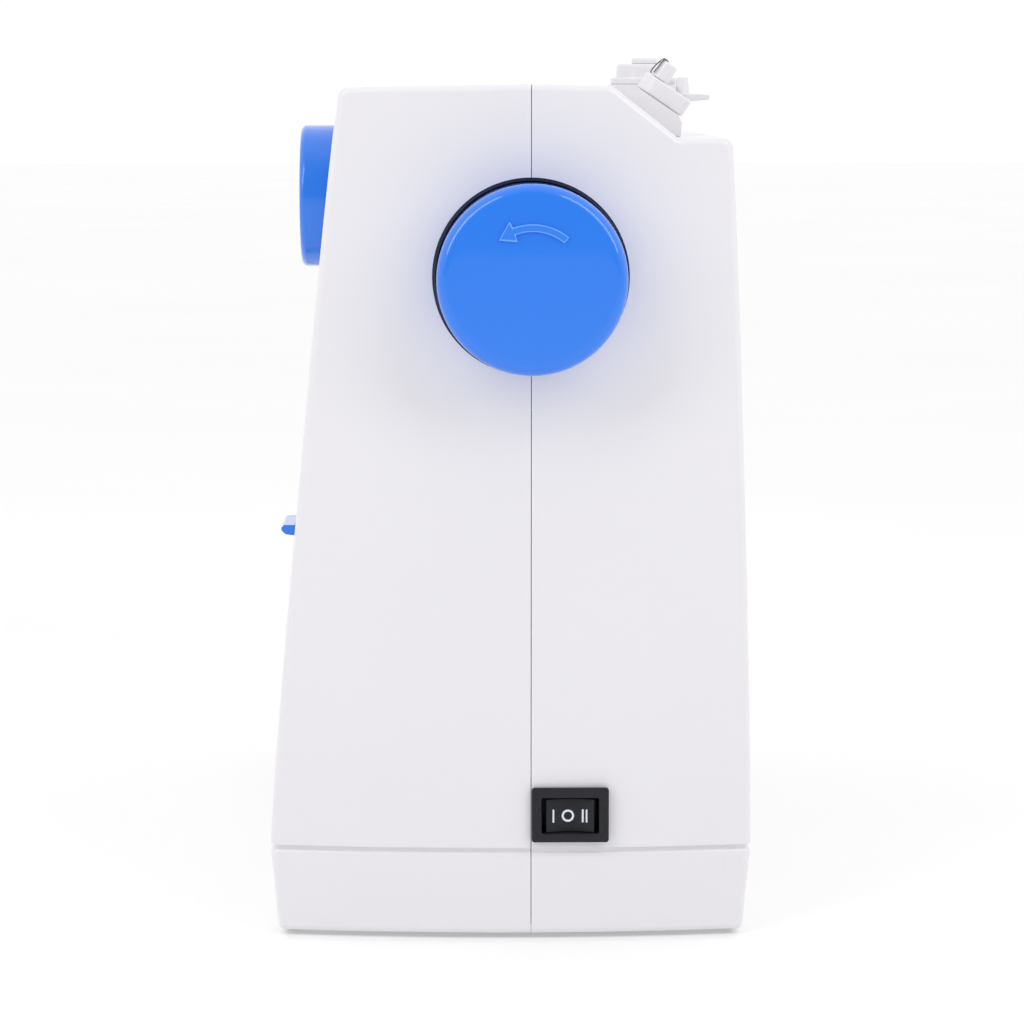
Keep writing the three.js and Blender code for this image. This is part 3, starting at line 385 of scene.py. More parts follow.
def block(name, x0, x1, y0, y1, z0, z1, radius=0.0):
    return prism_z(name, rectangle(x0, y0, x1, y1, radius), z0, z1)


AXES = {"x": Vector((1, 0, 0)), "y": Vector((0, 1, 0)), "z": Vector((0, 0, 1)), "-y": Vector((0, -1, 0))}


def lathe(name, profile, axis, at, segments=64, flute=None):
    """A turned solid. profile is (radius, height) along axis; flute gives a radius change by angle."""
    direction = AXES[axis] if isinstance(axis, str) else Vector(axis).normalized()
    turn = Vector((0, 0, 1)).rotation_difference(direction).to_matrix()
    closed = min(profile[0][0], profile[-1][0]) > 1e-6
    made = bmesh.new()
    rows = []
    for radius, height in profile:
        if radius < 1e-6:
            rows.append([made.verts.new((turn @ Vector((0, 0, height)) + Vector(at)) * MM)])
            continue
        row = []
        for i in range(segments):
            angle = 2 * math.pi * i / segments
            r = radius + (flute(angle, radius, height) if flute else 0)
            row.append(made.verts.new(
                (turn @ Vector((r * math.cos(angle), r * math.sin(angle), height)) + Vector(at)) * MM))
        rows.append(row)
    pairs = list(zip(rows, rows[1:]))
    if closed:
        pairs.append((rows[-1], rows[0]))
    for low, high in pairs:
        for i in range(segments):
            j = (i + 1) % segments
            corners = [low[i % len(low)], low[j % len(low)], high[j % len(high)], high[i % len(high)]]
            unique = list(dict.fromkeys(corners))
            if len(unique) > 2:
                made.faces.new(unique)
    return from_bmesh(name, made)


def arc(radius, height, size, start, end, steps=8):
    """Profile points round a fillet of that size, whose centre is at (radius, height)."""
    turns = [math.radians(start + (end - start) * k / steps) for k in range(steps + 1)]
    return [(radius + size * math.cos(turn), height + size * math.sin(turn)) for turn in turns]


def tube(name, points, radius, sides=10, smooth_steps=6):
    """A round wire along a smooth curve through points."""
    path = []
    spots = [Vector(p) for p in points]
    for i in range(len(spots) - 1):
        p0, p1 = spots[max(i - 1, 0)], spots[i]
        p2, p3 = spots[i + 1], spots[min(i + 2, len(spots) - 1)]
        for k in range(smooth_steps):
            t = k / smooth_steps
            path.append(0.5 * ((2 * p1) + (p2 - p0) * t + (2 * p0 - 5 * p1 + 4 * p2 - p3) * t * t
                               + (3 * p1 - p0 - 3 * p2 + p3) * t ** 3))
    path.append(spots[-1])
    side = (path[1] - path[0]).orthogonal().normalized()
    rings = []
    for i, spot in enumerate(path):
        along = (path[min(i + 1, len(path) - 1)] - path[max(i - 1, 0)]).normalized()
        side = (side - along * side.dot(along)).normalized()
        other = along.cross(side)
        rings.append([spot + side * radius * math.cos(2 * math.pi * j / sides)
                      + other * radius * math.sin(2 * math.pi * j / sides) for j in range(sides)])
    return from_rings(name, rings)


def bake(piece):
    """Applies a piece's modifiers to its mesh."""
    evaluated = piece.evaluated_get(bpy.context.evaluated_depsgraph_get())
    mesh = bpy.data.meshes.new_from_object(evaluated)
    piece.modifiers.clear()
    piece.data = mesh
    return piece


def boolean(piece, tools, operation="DIFFERENCE"):
    for tool in tools:
        change = piece.modifiers.new("boolean", "BOOLEAN")
        change.operation = operation
        change.solver = "EXACT"
        change.object = tool
    bake(piece)
    for tool in tools:
        bpy.data.objects.remove(tool, do_unlink=True)
    return piece


def copy_of(piece, name):
    twin = piece.copy()
    twin.data = piece.data.copy()
    twin.name = name
    bpy.context.scene.collection.objects.link(twin)
    return twin


def bevel(piece, width, segments=3, angle=35, clamp=True):
    change = piece.modifiers.new("bevel", "BEVEL")
    change.width = width * MM
    change.segments = segments
    change.limit_method = "ANGLE"
    change.angle_limit = math.radians(angle)
    change.use_clamp_overlap = clamp
    change.miter_outer = "MITER_ARC"
    return bake(piece)


def tidy(piece, weld=0.002):
    """Merges points closer than weld and removes faces with no area."""
    made = bmesh.new()
    made.from_mesh(piece.data)
    bmesh.ops.remove_doubles(made, verts=made.verts, dist=weld * MM)
    bmesh.ops.dissolve_degenerate(made, edges=made.edges, dist=weld * MM)
    made.to_mesh(piece.data)
    made.free()
    return piece


def dress(piece, material, body="casing", nodes=(), smooth=38):
    """Gives a piece its shading, material and body, and hides the CAD nodes that it stands for."""
    for face in piece.data.polygons:
        face.use_smooth = True
    piece.data.set_sharp_from_angle(angle=math.radians(smooth))
    weighted = piece.modifiers.new("weighted", "WEIGHTED_NORMAL")
    weighted.keep_sharp = True
    piece.data.materials.clear()
    piece.data.materials.append(material)
    if nodes:
        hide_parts(*nodes)
    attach(piece, body)
    return piece


# ------------------------------------------------------------------ casing shells
def casing_skin(name, inset):
    """The casing before its openings: the end outline swept along X, with rounded, bowed ends."""
    floor = UNDERSIDE if inset == 0 else -12 - inset
    arc_steps = 8
    first = rounded(side_corners(0, UNDERSIDE), arc_steps)
    longest = 6
    ahead = first[1:] + first[:1]
    spans = [max(1, math.ceil((there - here).length / longest)) for here, there in zip(first, ahead)]

    def ring(extra, x):
        outline = resampled(rounded(side_corners(inset + extra, floor), arc_steps), spans)
        return [(x, p.x, p.y) for p in outline]

    right_size = END_EDGE if inset == 0 else 1.0
    left_size = 8.0 if inset == 0 else 5.5
    steps = 7
    turns = [math.radians(90 * k / steps) for k in range(steps + 1)]
    rings = []
    for turn in reversed(turns):
        x = LEFT + inset + left_size * (1 - math.sin(turn))
        rings.append(ring(left_size * (1 - math.cos(turn)), x))
    for turn in turns:
        x = RIGHT - inset - right_size * (1 - math.sin(turn))
        rings.append(ring(right_size * (1 - math.cos(turn)), x))
    skin = from_rings(name, rings)
    made = bmesh.new()
    made.from_mesh(skin.data)
    spacing = 4.0
    y = -WIDEST + spacing
    while y < WIDEST:
        caps = [f for f in made.faces if f.normal.x > 0.999]
        geometry = caps + list({e for f in caps for e in f.edges})
        geometry += list({v for f in caps for v in f.verts})
        bmesh.ops.bisect_plane(
            made, geom=geometry, plane_co=(0, y * MM, 0), plane_no=(0, 1, 0), dist=1e-6)
        y += spacing
    for vertex in made.verts:
        if vertex.co.x > 0:
            vertex.co.x -= end_bow(vertex.co.y / MM) * MM
    bmesh.ops.triangulate(made, faces=made.faces)
    made.to_mesh(skin.data)
    made.free()
    return skin


def face_y(z, side):
    """Y of the casing's surface at height z: side -1 is the operator's, 1 the rear."""
    if z < SKIRT_TOP:
        widest = WIDEST if side < 0 else WIDEST_BACK
        return side * (widest - SKIRT_TAPER * (SKIRT_TOP - z) / (SKIRT_TOP - UNDERSIDE))
    return front_face(z) if side < 0 else back_face(z)


def arm_space(grow):
    """The space under the arm and round the head, seen from the front and grown into the casing."""
    side = LEFT - 0.02 + grow
    corners = [
        (LEFT - 20, TRAY_TOP - grow, 0), (COLUMN_LEFT + grow, TRAY_TOP - grow, 0),
        (COLUMN_LEFT + grow, ARM_BOTTOM + grow, 14 + grow),
        (HEAD_RIGHT - grow, ARM_BOTTOM + grow, 14 + grow),
        (HEAD_RIGHT - grow, HEAD_BOTTOM + grow, 10 - grow), (side, HEAD_BOTTOM + grow, 10 - grow),
        (side, HEAD_BOTTOM + 40, 0), (LEFT - 20, HEAD_BOTTOM + 40, 0)]
    return rounded(corners, 12)


def head_top(grow):
    side, roof = LEFT - 0.02 + grow, TOP + 0.02 - grow
    corners = [
        (side, TOP - 50, 0), (side, roof, 16 - grow), (LEFT + 50, roof, 0), (LEFT + 50, TOP + 15, 0),
        (LEFT - 20, TOP + 15, 0), (LEFT - 20, TOP - 50, 0)]
    return rounded(corners, 12)


def flared(name, outline_at, inset, radius):
    """A tool through the casing from front to back, widening to round the edges that it leaves."""
    steps = 5
    turns = [math.radians(90 * k / steps) for k in range(steps + 1)]
    fillet = [(radius * (1 - math.sin(turn)), radius * (1 - math.cos(turn))) for turn in turns]
    run_in = (2 * fillet[0][0] - fillet[1][0], 2 * fillet[0][1] - fillet[1][1])
    entry = [(run_in[0], -25), run_in] + fillet if radius > 0 else [(0, -25)]
    rings = []
    for side, stations in ((-1, entry), (1, entry[::-1])):
        for grow, depth in stations:
            outline = outline_at(inset + grow)
            rings.append([(p.x, face_y(min(p.y, LEDGE), side) - side * depth, p.y) for p in outline])
    return from_rings(name, rings)


def free_arm(name, inset):
    belly, brow = 8 - inset, 2.5 - inset + 0.3
    across = [(FREE_FRONT + inset, ARM_FLOOR + inset, belly),
              (FREE_BACK - inset, ARM_FLOOR + inset, belly),
              (FREE_BACK - inset, BED - inset, brow), (FREE_FRONT + inset, BED - inset, brow)]
    end = COLUMN_LEFT + WALL + 2
    plan = [(FREE_LEFT + inset, FREE_FRONT + inset, FREE_CORNER - inset), (end, FREE_FRONT + inset, 0),
            (end, FREE_BACK - inset, 0), (FREE_LEFT + inset, FREE_BACK - inset, FREE_CORNER - inset)]
    arm = prism_x(name, rounded(across, 8), FREE_LEFT - 4, end)
    return boolean(arm, [prism_z("plan", rounded(plan, 12), ARM_FLOOR - 4, BED + 4)], "INTERSECT")


def casing_solid(name, inset):
    skin = casing_skin(name, inset)
    edge = 2.2 if inset == 0 else 0
    boolean(skin, [flared("arm_space", arm_space, inset, edge)])
    boolean(skin, [flared("head_top", head_top, inset, edge)])
    return boolean(skin, [free_arm("free", inset)], "UNION")


def wheel_well():
    depth = 30
    profile = [(0, 0), (WELL_RADIUS, 0), (WELL_RADIUS, depth), (0, depth)]
    return lathe("well", profile, "x", (WHEEL_INNER - 4, SEAM, SHAFT_Z), 96)


def shell_openings():
    front = [
        prism_y("t", rectangle(TAKE_UP_X - 3.5, 150, TAKE_UP_X + 3.5, 214, 3.4), -70, -38),
        prism_y("d", circle(DIAL_RADIUS + 0.6, 72, DIAL_X, DIAL_Z), -80, DIAL_FACE + 10),
        prism_y("ds", circle(DIAL_STEM_HOLE, 40, DIAL_X, DIAL_Z), -60, -35),
        prism_y("l", rectangle(LEVER_X0 + 4, LEVER_LOW - 5.1, LEVER_X1 - 4, LEVER_HIGH + 0.6, 1),
                -75, -48),
        prism_y("s", rectangle(TENSION_X - 5.5, TENSION_Z - 13.5, TENSION_X + 5.5, TENSION_Z + 13.5, 1.5),
                -70, -38),
    ]
    back = [
        prism_x("sw", rectangle(SWITCH_Y0 + 1.2, SWITCH_Z0 + 1.5, SWITCH_Y1 - 1.5, SWITCH_Z1 - 1.5),
                RIGHT - 12, RIGHT + 5),
        prism_z("sp", circle(3.4, 32, SPOOL_X, SPOOL_Y), LEDGE - 20, LEDGE + 20),
    ]
    back += [prism_y("j", circle(5.4, 40, x, JACK_Z), 50, 80) for x in (POWER_JACK_X, PEDAL_JACK_X)]
    back += vent_slots()
    return front, back


def shared_openings():
    return [
        block("mouth", -126, -82, -12, 34, HEAD_BOTTOM - 5, HEAD_BOTTOM + 8, 3),
        block("bed", PLATE_X0 - 0.3, PLATE_X1 + 0.3, COVER_Y0 - 0.3, PLATE_Y1 + 0.3, BED - 6, BED + 5, 2),
        block("lamp", LAMP_X0, LAMP_X1, LAMP_Y0, LAMP_Y1, ARM_BOTTOM - 5, ARM_BOTTOM + 8, 2),
        wheel_well()]


def dial_cup():
    """A boss inside the front shell with the pattern dial's pocket in it."""
    cup = lathe("cup", [(0, 0), (22, 0), (22, 60), (0, 60)], "-y", (DIAL_X, -45.2, DIAL_Z), 72)
    return boolean(cup, [casing_skin("limit", 0.05)], "INTERSECT")


def vent_slots():
    """A bank of cooling slots low on the back of the column."""
    count, lowest, pitch, tall = 7, 74, 6, 2.5
    starts = [lowest + pitch * k for k in range(count)]
    return [prism_y("v", rectangle(58, z, 98, z + tall, 1.2, 5), 54, 80) for z in starts]


def plan_outline(z, inset):
    """The casing's outline from above at height z, moved inwards by inset."""
    front, back = face_y(min(z, SKIRT_TOP - 0.1), -1) + inset, face_y(min(z, SKIRT_TOP - 0.1), 1) - inset
    middle, half = (front + back) / 2, (back - front) / 2
    steps = 8
    outline = []
    for end, size in ((RIGHT - inset, END_EDGE), (LEFT + inset, 8.0)):
        inward = 1 if end < 0 else -1
        size = size - max(inset, 0)
        turns = [math.radians(90 * k / steps) for k in range(steps + 1)]
        corner = [(end + inward * size * (1 - math.sin(a)), half - size * (1 - math.cos(a)))
                  for a in turns]
        reach = half - size
        across = [(end, reach * (2 * k / 24 - 1)) for k in range(1, 24)]
        if end > 0:
            outline += [(x, -y) for x, y in corner] + across + corner[::-1]
        else:
            outline += corner + across[::-1] + [(x, -y) for x, y in corner[::-1]]
    shifted = [(x, y + middle) for x, y in outline]
    return [(x - end_bow(y) if x > 0 else x, y, z) for x, y in shifted]


def skirt_groove():
    """The ring cut between body and skirt: a sharp overhang above, a rounded shoulder below."""
    deep, shoulder = 0.9, 1.3
    top = SKIRT_TOP + 0.4
    low = top - 2.6
    levels = [(low - 0.7, -0.7)]
    for degrees in (14, 28, 42, 56, 70, 90):
        a = math.radians(degrees)
        levels.append((low + shoulder * math.sin(a), shoulder * (1 - math.cos(a)) * deep / shoulder))
    levels.append((top + 0.6, deep))
    core = from_rings("core", [plan_outline(z, inset) for z, inset in levels])
    band = block("band", LEFT - 10, RIGHT + 10, -90, 90, low - 0.4, top)
    return boolean(band, [core])


def build_shells():
    whole = casing_solid("casing", 0)
    boolean(whole, [skirt_groove()])
    hollow = casing_solid("hollow", WALL)
    front, back = shell_openings()
    far, gap = 300, 0.1
    halves = (("front", (-far, PARTING - gap), front), ("rear", (PARTING + gap, far), back))
    for side, (y0, y1), openings in halves:
        shell = copy_of(whole, f"{side}_casing")
        boolean(shell, [block("half", -far, far, y0, y1, -far, far)], "INTERSECT")
        boolean(shell, [copy_of(hollow, "space")])
        if side == "front":
            boolean(shell, [dial_cup()], "UNION")
        for opening in openings + shared_openings():
            boolean(shell, [opening])
        tidy(shell)
        bevel(shell, 0.3, 2, 40, clamp=True)
        dress(shell, SHELL_WHITE, "casing", [f"{side}_shell"], 40)
    for spare in (whole, hollow):
        bpy.data.objects.remove(spare, do_unlink=True)


build_shells()


# ------------------------------------------------------------------ hand wheel
def arrow_outline(inset):
    mean, half, wing = 13.75, 1.02 - inset, 2.95 - 2.1 * inset
    start = math.radians(50) + inset / mean
    end = math.radians(110.5) + inset / mean
    tip = math.radians(130.3) - 2.0 * inset / mean
    steps = 18

    def spot(radius, angle):
        return Vector((SEAM + radius * math.cos(angle), SHAFT_Z + radius * math.sin(angle)))
    inner = [spot(mean - half, start + (end - start) * k / steps) for k in range(steps + 1)]
    outer = [spot(mean + half, start + (end - start) * k / steps) for k in range(steps, -1, -1)]
    return inner + [spot(mean - wing, end + 0.01), spot(mean, tip), spot(mean + wing, end + 0.01)] + outer


def build_wheel():
    rim = 3.4
    crown = 0.5
    face = WHEEL_FACE - WHEEL_INNER
    profile = [(0, 12), (4.3, 12), (4.3, 0), (8, 0), (8, 4), (22, 4), (22, 1.2), (22.6, 0.6), (24.4, 0.6),
               (WHEEL_RADIUS, 1.3)]
    profile += arc(WHEEL_RADIUS - rim, face - rim - crown, rim, 0, 84, 16)
    profile += [(WHEEL_RADIUS - rim - 2, face - crown + 0.12), (12, face - 0.12), (0, face)]
    wheel = lathe("wheel_disc", profile, "x", (WHEEL_INNER, SEAM, SHAFT_Z), 160)
    dress(wheel, GLOSS_BLUE, "upper_shaft", ["hand_wheel"], 50)
    top = WHEEL_FACE + 0.6
    # The arrow's outline rim takes the lighter blue, a painted highlight on its bevelled edges; the plain
    # blue top sits inside it.
    arrow = prism_x("arrow_highlight_rim", arrow_outline(0), WHEEL_FACE - 1.5, top)
    bevel(arrow, 0.28, 3, 30)
    dress(arrow, PAINTED_HIGHLIGHT_BLUE, "upper_shaft", (), 60)
    inlay = prism_x("arrow_top", arrow_outline(0.34), WHEEL_FACE - 1.5, top + 0.04)
    dress(inlay, GLOSS_BLUE, "upper_shaft", (), 30)


def build_liner():
    """A dark grey ring in the well round the wheel: painted shade that makes the gap round the wheel read
    dark.
    """
    profile = [(25.4, 0), (26.26, 0), (26.26, 7.2), (25.4, 7.2)]
    liner = lathe("well_shade_ring", profile, "x", (RIGHT - 9, SEAM, SHAFT_Z), 128)
    dress(liner, GAP_SHADE_GREY, "casing", (), 40)


build_wheel()
build_liner()


# ------------------------------------------------------------------ controls
def build_dial():
    """Pattern dial: a plain drum with a rounded rim, a recessed face and a pointer bar."""
    height = 9.5
    rim = 1.6
    profile = [(0, -22), (3, -22), (3, 0), (DIAL_RADIUS - 0.5, 0), (DIAL_RADIUS, 0.5)]
    profile += arc(DIAL_RADIUS - rim, height - rim, rim, 0, 90, 8)
    profile += [(DIAL_RADIUS - 3.2, height), (DIAL_RADIUS - 3.8, height - 0.6), (0, height - 0.6)]
    dial = lathe("dial_drum", profile, "-y", (DIAL_X, DIAL_FACE + height, DIAL_Z), 96)
    dress(dial, GLOSS_BLUE, "pattern_set", ["pattern_dial"], 40)
    reach = 14
    tapered = [(DIAL_X - 2.6, DIAL_Z - reach, 2.5), (DIAL_X + 2.6, DIAL_Z - reach, 2.5),
               (DIAL_X + 1.6, DIAL_Z + reach, 1.5), (DIAL_X - 1.6, DIAL_Z + reach, 1.5)]
    bar = prism_y("dial_grip", rounded(tapered), DIAL_FACE + 0.02, DIAL_FACE + 2)
    bevel(bar, 0.5, 3, 30)
    dress(bar, GLOSS_BLUE, "pattern_set", (), 50)
    line = rectangle(DIAL_X - 0.5, DIAL_Z + 5, DIAL_X + 0.5, DIAL_Z + 12.5, 0.4, 4)
    pointer = prism_y("dial_pointer", line, DIAL_FACE - 0.08, DIAL_FACE + 0.4)
    dress(pointer, MARK_WHITE, "pattern_set")


def build_lever():
    """Reverse lever: a thin paddle with a rounded far corner, on a neck that turns about a hub."""
    back = front_face(LEVER_LOW) - 0.4
    section = rounded([(back, LEVER_LOW, 0.2), (back, LEVER_HIGH, 0.2), (-62.3, LEVER_HIGH, 0.8),
                       (-63.1, LEVER_LOW + 1.7, 0.7), (-61.7, LEVER_LOW + 0.3, 1.0)], 6)
    paddle = prism_x("lever_paddle", section, LEVER_X0, LEVER_X1)
    plan = [(LEVER_X0, -63.2, 3.6), (LEVER_X1, -63.2, 0.8), (LEVER_X1, -50, 0), (LEVER_X0, -50, 0)]
    boolean(paddle, [prism_z("plan", rounded(plan, 8), LEVER_LOW - 2, LEVER_HIGH + 2)], "INTERSECT")
    x0, x1 = LEVER_X0 + 5, LEVER_X1 - 5
    pivot = (LEVER_PIVOT_Y, LEVER_PIVOT_Z)
    bore = lathe("h", [(0, 0), (2.3, 0), (2.3, 60), (0, 60)], "x", (LEVER_X0, *pivot), 32)
    hub = lathe("hub", [(0, 0), (4, 0), (4, x1 - x0), (0, x1 - x0)], "x", (x0, *pivot), 32)
    neck = block("neck", x0, x1, back - 0.2, LEVER_PIVOT_Y, LEVER_LOW, LEVER_HIGH - 0.1)
    web = block("web", x0 + 0.05, x1 - 0.05, LEVER_PIVOT_Y - 3.5, LEVER_PIVOT_Y + 2.5,
                LEVER_PIVOT_Z, LEVER_HIGH - 0.2)
    for part in (neck, hub, web):
        boolean(paddle, [part], "UNION")
    boolean(paddle, [bore])
    bevel(tidy(paddle), 0.25, 3, 40)
    dress(paddle, GLOSS_BLUE, "reverse_body", ["reverse_lever"], 40)


def build_tension():
    """Thread tension wheel: a disc on edge with a fluted rim."""
    teeth, depth, fluted_from = 40, 0.35, 13

    def flute(angle, radius, height):
        return -depth * (0.5 + 0.5 * math.cos(teeth * angle)) if radius > fluted_from else 0
    profile = [(3.3, 0), (13.2, 0), (TENSION_RADIUS, 0.8), (TENSION_RADIUS, 7.2), (13.2, 8), (3.3, 8)]
    dial = lathe("tension_wheel", profile, "x", (TENSION_X - 4, TENSION_Y, TENSION_Z), 240, flute)
    dress(dial, GLOSS_BLUE, "tension_body", ["tension_dial"], 30)


def build_switch():
    y0, y1, z0, z1 = SWITCH_Y0, SWITCH_Y1, SWITCH_Z0, SWITCH_Z1
    bezel = prism_x("switch_bezel", rectangle(y0, z0, y1, z1, 0.8, 6), RIGHT + 0.2, RIGHT + 1.7)
    body = block("b", RIGHT - 14, RIGHT + 1, y0 + 1.6, y1 - 1.9, z0 + 1.9, z1 - 1.9)
    pocket = block("k", RIGHT - 8, RIGHT + 5, y0 + 2.7, y1 - 2.7, z0 + 2.4, z1 - 2.8)
    boolean(bezel, [body], "UNION")
    boolean(bezel, [pocket])
    bevel(bezel, 0.4, 3, 40)
    dress(bezel, SWITCH_BLACK, "casing", ["switch_housing"], 40)

    middle, half = (y0 + y1) / 2, 6.55

    def top(y):
        return RIGHT - 0.6 + 1.5 * ((y - middle) / half) ** 2
    crown = [(top(middle + half * (k / 8 - 1)), middle + half * (k / 8 - 1)) for k in range(17)]
    base = [(RIGHT - 5, middle + half - 0.4), (RIGHT - 5, middle - half + 0.4)]
    outline = [Vector(p) for p in crown + base]
    rocker = prism_z("rocker_cap", outline, z0 + 2.45, z1 - 3.25)
    bevel(rocker, 0.3, 3, 30)
    dress(rocker, SWITCH_BLACK, "rocker_body", ["power_rocker"], 35)

    centre_z = (z0 + z1) / 2 - 0.5
    bars = [-4.6, 3.45, 4.5]
    for k, offset in enumerate(bars):
        y = middle + offset
        bar = rectangle(y - 0.28, centre_z - 1.8, y + 0.28, centre_z + 1.8, 0.2, 4)
        mark = prism_x(f"mark_bar_{k}", bar, top(y) - 0.4, top(y) + 0.06)
        dress(mark, MARK_WHITE, "rocker_body")
    ring_y = middle - 0.6
    profile = [(1.12, 0), (1.68, 0), (1.68, 0.5), (1.12, 0.5)]
    ring = lathe("mark_ring", profile, "x", (top(ring_y) - 0.25, ring_y, centre_z), 48)
    dress(ring, MARK_WHITE, "rocker_body")


def build_pedal_jack():
    """The second socket on the back, beside the supply jack: a smaller round socket with a pin."""
    profile = [(0, -12), (5.1, -12), (5.1, 0.1)]
    profile += [(7.0, 0.15), (7.0, 0.7), (6.6, 1.1), (3.6, 1.1), (3.3, 0.8), (3.3, -9)]
    profile += [(0.9, -9), (0.9, -2.4), (0.5, -2), (0, -2)]
    jack = lathe("pedal_jack", profile, "y", (PEDAL_JACK_X, back_face(JACK_Z), JACK_Z), 64)
    dress(jack, DEEP_BLACK, "casing", (), 40)


build_dial()
build_pedal_jack()
build_lever()
build_tension()
build_switch()


# ------------------------------------------------------------------ winder and spool pin
def on_slope(u, h):
    """Y and Z of a point u back along the slanted plinth and h above it."""
    y = SLOPE_Y + u * math.cos(SLANT) + h * math.sin(SLANT)
    z = SLOPE_Z - u * math.sin(SLANT) + h * math.cos(SLANT)
    return y, z


def sloped(piece, u, h):
    """Tips a piece built upright at the origin onto the slanted plinth."""
    y, z = on_slope(u, h)
    place = Matrix.Translation(Vector((WINDER_X, y, z)) * MM)
    piece.data.transform(place @ Matrix.Rotation(-SLANT, 4, "X"))
    return piece


def build_winder():
    low = LEDGE + 0.03
    slanted = [(29.4, 230.9, 0), (29.4, 229.2, 0), (44.7, low, 0), (47.3, low, 0), (47.5, 220.5, 1.0),
               (46.5, 222.6, 1.0), (34.3, 230.85, 2.0)]
    level = [(29.4, 230.9, 0), (29.4, 229.2, 0), (44.7, low, 0), (48, low, 0), (47.5, 230.9, 1)]
    plinth = prism_x("winder_base", rounded(slanted, 5), 63, 89)
    boolean(plinth, [prism_x("l", rounded(level, 5), 41, 63.5)], "UNION")
    boolean(plinth, [prism_z("h", circle(3.4, 32, SPOOL_X, SPOOL_Y), 200, 245)])
    bevel(tidy(plinth), 0.7, 4, 35)
    dress(plinth, TRIM_WHITE, "casing", ["winder_plinth"], 40)

    plan = rounded([(-5.2, -0.5, 5.1), (5.2, -0.5, 5.1), (5.2, 14.4, 2.2), (-5.2, 14.4, 2.2)], 14)
    plate = from_rings("winder_plate", [[(p.x, p.y, z) for p in plan] for z in (0, 5.0)])
    boolean(plate, [lathe("h", [(0, -1), (1.8, -1), (1.8, 9), (0, 9)], "z", (0, SPINDLE_U, 0), 24)])
    bevel(plate, 0.9, 5, 40)
    dress(sloped(plate, 0, 0.25), TRIM_WHITE, "carriage_body", ["winder_carriage"], 40)

    profile = [(0, -4.6), (1.5, -4.6), (1.5, 0), (2.6, 0), (2.6, 4.5)]
    profile += arc(1.9, 4.5, 0.7, 0, 90, 6) + [(0, 5.2)]
    spindle = lathe("winder_post", profile, "z", (0, 0, 0), 40)
    boolean(spindle, [block("s", -0.4, 0.4, -4, -0.8, 1.0, 7)])
    dress(sloped(spindle, SPINDLE_U, SPINDLE_H), TRIM_WHITE, "spindle_body", ["winder_spindle"], 40)
    strands = {
        "winder_clip_a": [(0.5, -1.0, 5.4), (0.5, -2.2, 5.3), (0.5, -3.1, 2.9), (0.5, -3.3, 0.6),
                          (0.5, -2.9, 0.3)],
        "winder_clip_b": [(0.9, -0.8, 5.4), (1.9, -2.1, 4.9), (2.0, -2.3, 2.8), (1.9, -2.5, 0.6)]}
    for name, points in strands.items():
        wire = sloped(tube(name, points, 0.2), SPINDLE_U, SPINDLE_H)
        dress(wire, SPRING_STEEL, "spindle_body", (), 80)


def build_stop():
    """The winder's stop: a flat finger behind the plinth with a cone peg on it."""
    side = rounded([(47.6, 225.9, 0), (57.2, 226.6, 0.5), (57.2, 228.1, 0.5), (47.6, 228.4, 0)], 5)
    finger = prism_x("stop_finger", side, 58.4, 61.6)
    bevel(finger, 0.3, 3, 35)
    dress(finger, TRIM_WHITE, "casing", ["winder_stop"], 40)
    profile = [(0, 0), (2.1, 0), (1.65, 4.4)] + arc(1.05, 4.5, 0.55, 10, 90, 6) + [(0, 5.05)]
    peg = lathe("stop_peg", profile, "z", (60, 49.5, 227.9), 40)
    dress(peg, TRIM_WHITE, "casing", (), 40)


def build_spool_pin():
    at = (SPOOL_X, SPOOL_Y, 231.2)
    profile = [(3.3, -0.35), (9.3, -0.35), (9.6, 0.0), (9.6, 1.2), (9.3, 1.55), (8.2, 1.75)]
    profile += [(8, 2.0), (7.9, 4.6)]
    profile += arc(7.0, 4.65, 0.85, 0, 90, 6) + [(3.9, 5.5), (3.3, 5.1)]
    dress(lathe("spool_base", profile, "z", at, 72), TRIM_WHITE, "casing", ["spool_seat"], 40)
    pin = [(0, 0), (2.2, 0), (3, 1), (3, 44.45), (3.6, 44.5), (3.7, 44.6), (3.7, 45.3)]
    pin += arc(2.9, 45.3, 0.8, 0, 90, 6) + [(0, 46.1)]
    rod = lathe("spool_rod", pin, "z", (SPOOL_X, SPOOL_Y, 192.3), 40)
    dress(rod, TRIM_WHITE, "spool_pin_body", ["spool_pin"], 40)


build_winder()
build_stop()
build_spool_pin()


# ------------------------------------------------------------------ carried-over CAD nodes
def keep(material, *nodes, width=0.25):
    """CAD nodes whose shape is right: rounded edges, smooth shading and a finish."""
    for node in nodes:
        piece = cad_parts[node]
        change = piece.modifiers.new("bevel", "BEVEL")
        change.width = width * MM
        change.segments = 2
        change.limit_method = "ANGLE"
        change.angle_limit = math.radians(40)
        for face in piece.data.polygons:
            face.use_smooth = True
        piece.data.set_sharp_from_angle(angle=math.radians(40))
        piece.modifiers.new("weighted", "WEIGHTED_NORMAL").keep_sharp = True
        piece.data.materials.clear()
        piece.data.materials.append(material)


keep(PLAIN_GREY, "bottom_plate")
keep(RUBBER, "foot_front_left", "foot_front_right", "foot_rear_left", "foot_rear_right",
     "drive_belt", "timing_belt")
keep(CAST, "frame_casting", "crank_disc")
keep(STEEL, "bush_right", "bush_left", "main_shaft", "lower_shaft", "driving_gear", "hook",
     "take_up_pivot", "needle_bar", "needle_clamp", "clamp_screw", "presser_bar", "foot_shank",
     "shank_screw", "lifter_pin", "feed_dog", "lever_pin", "tension_pin", "motor", width=0.15)
keep(STEEL, "needle", width=0.02)
keep(PLATED, "take_up_lever", "presser_foot")
keep(BED_STEEL, "needle_plate", width=0.2)
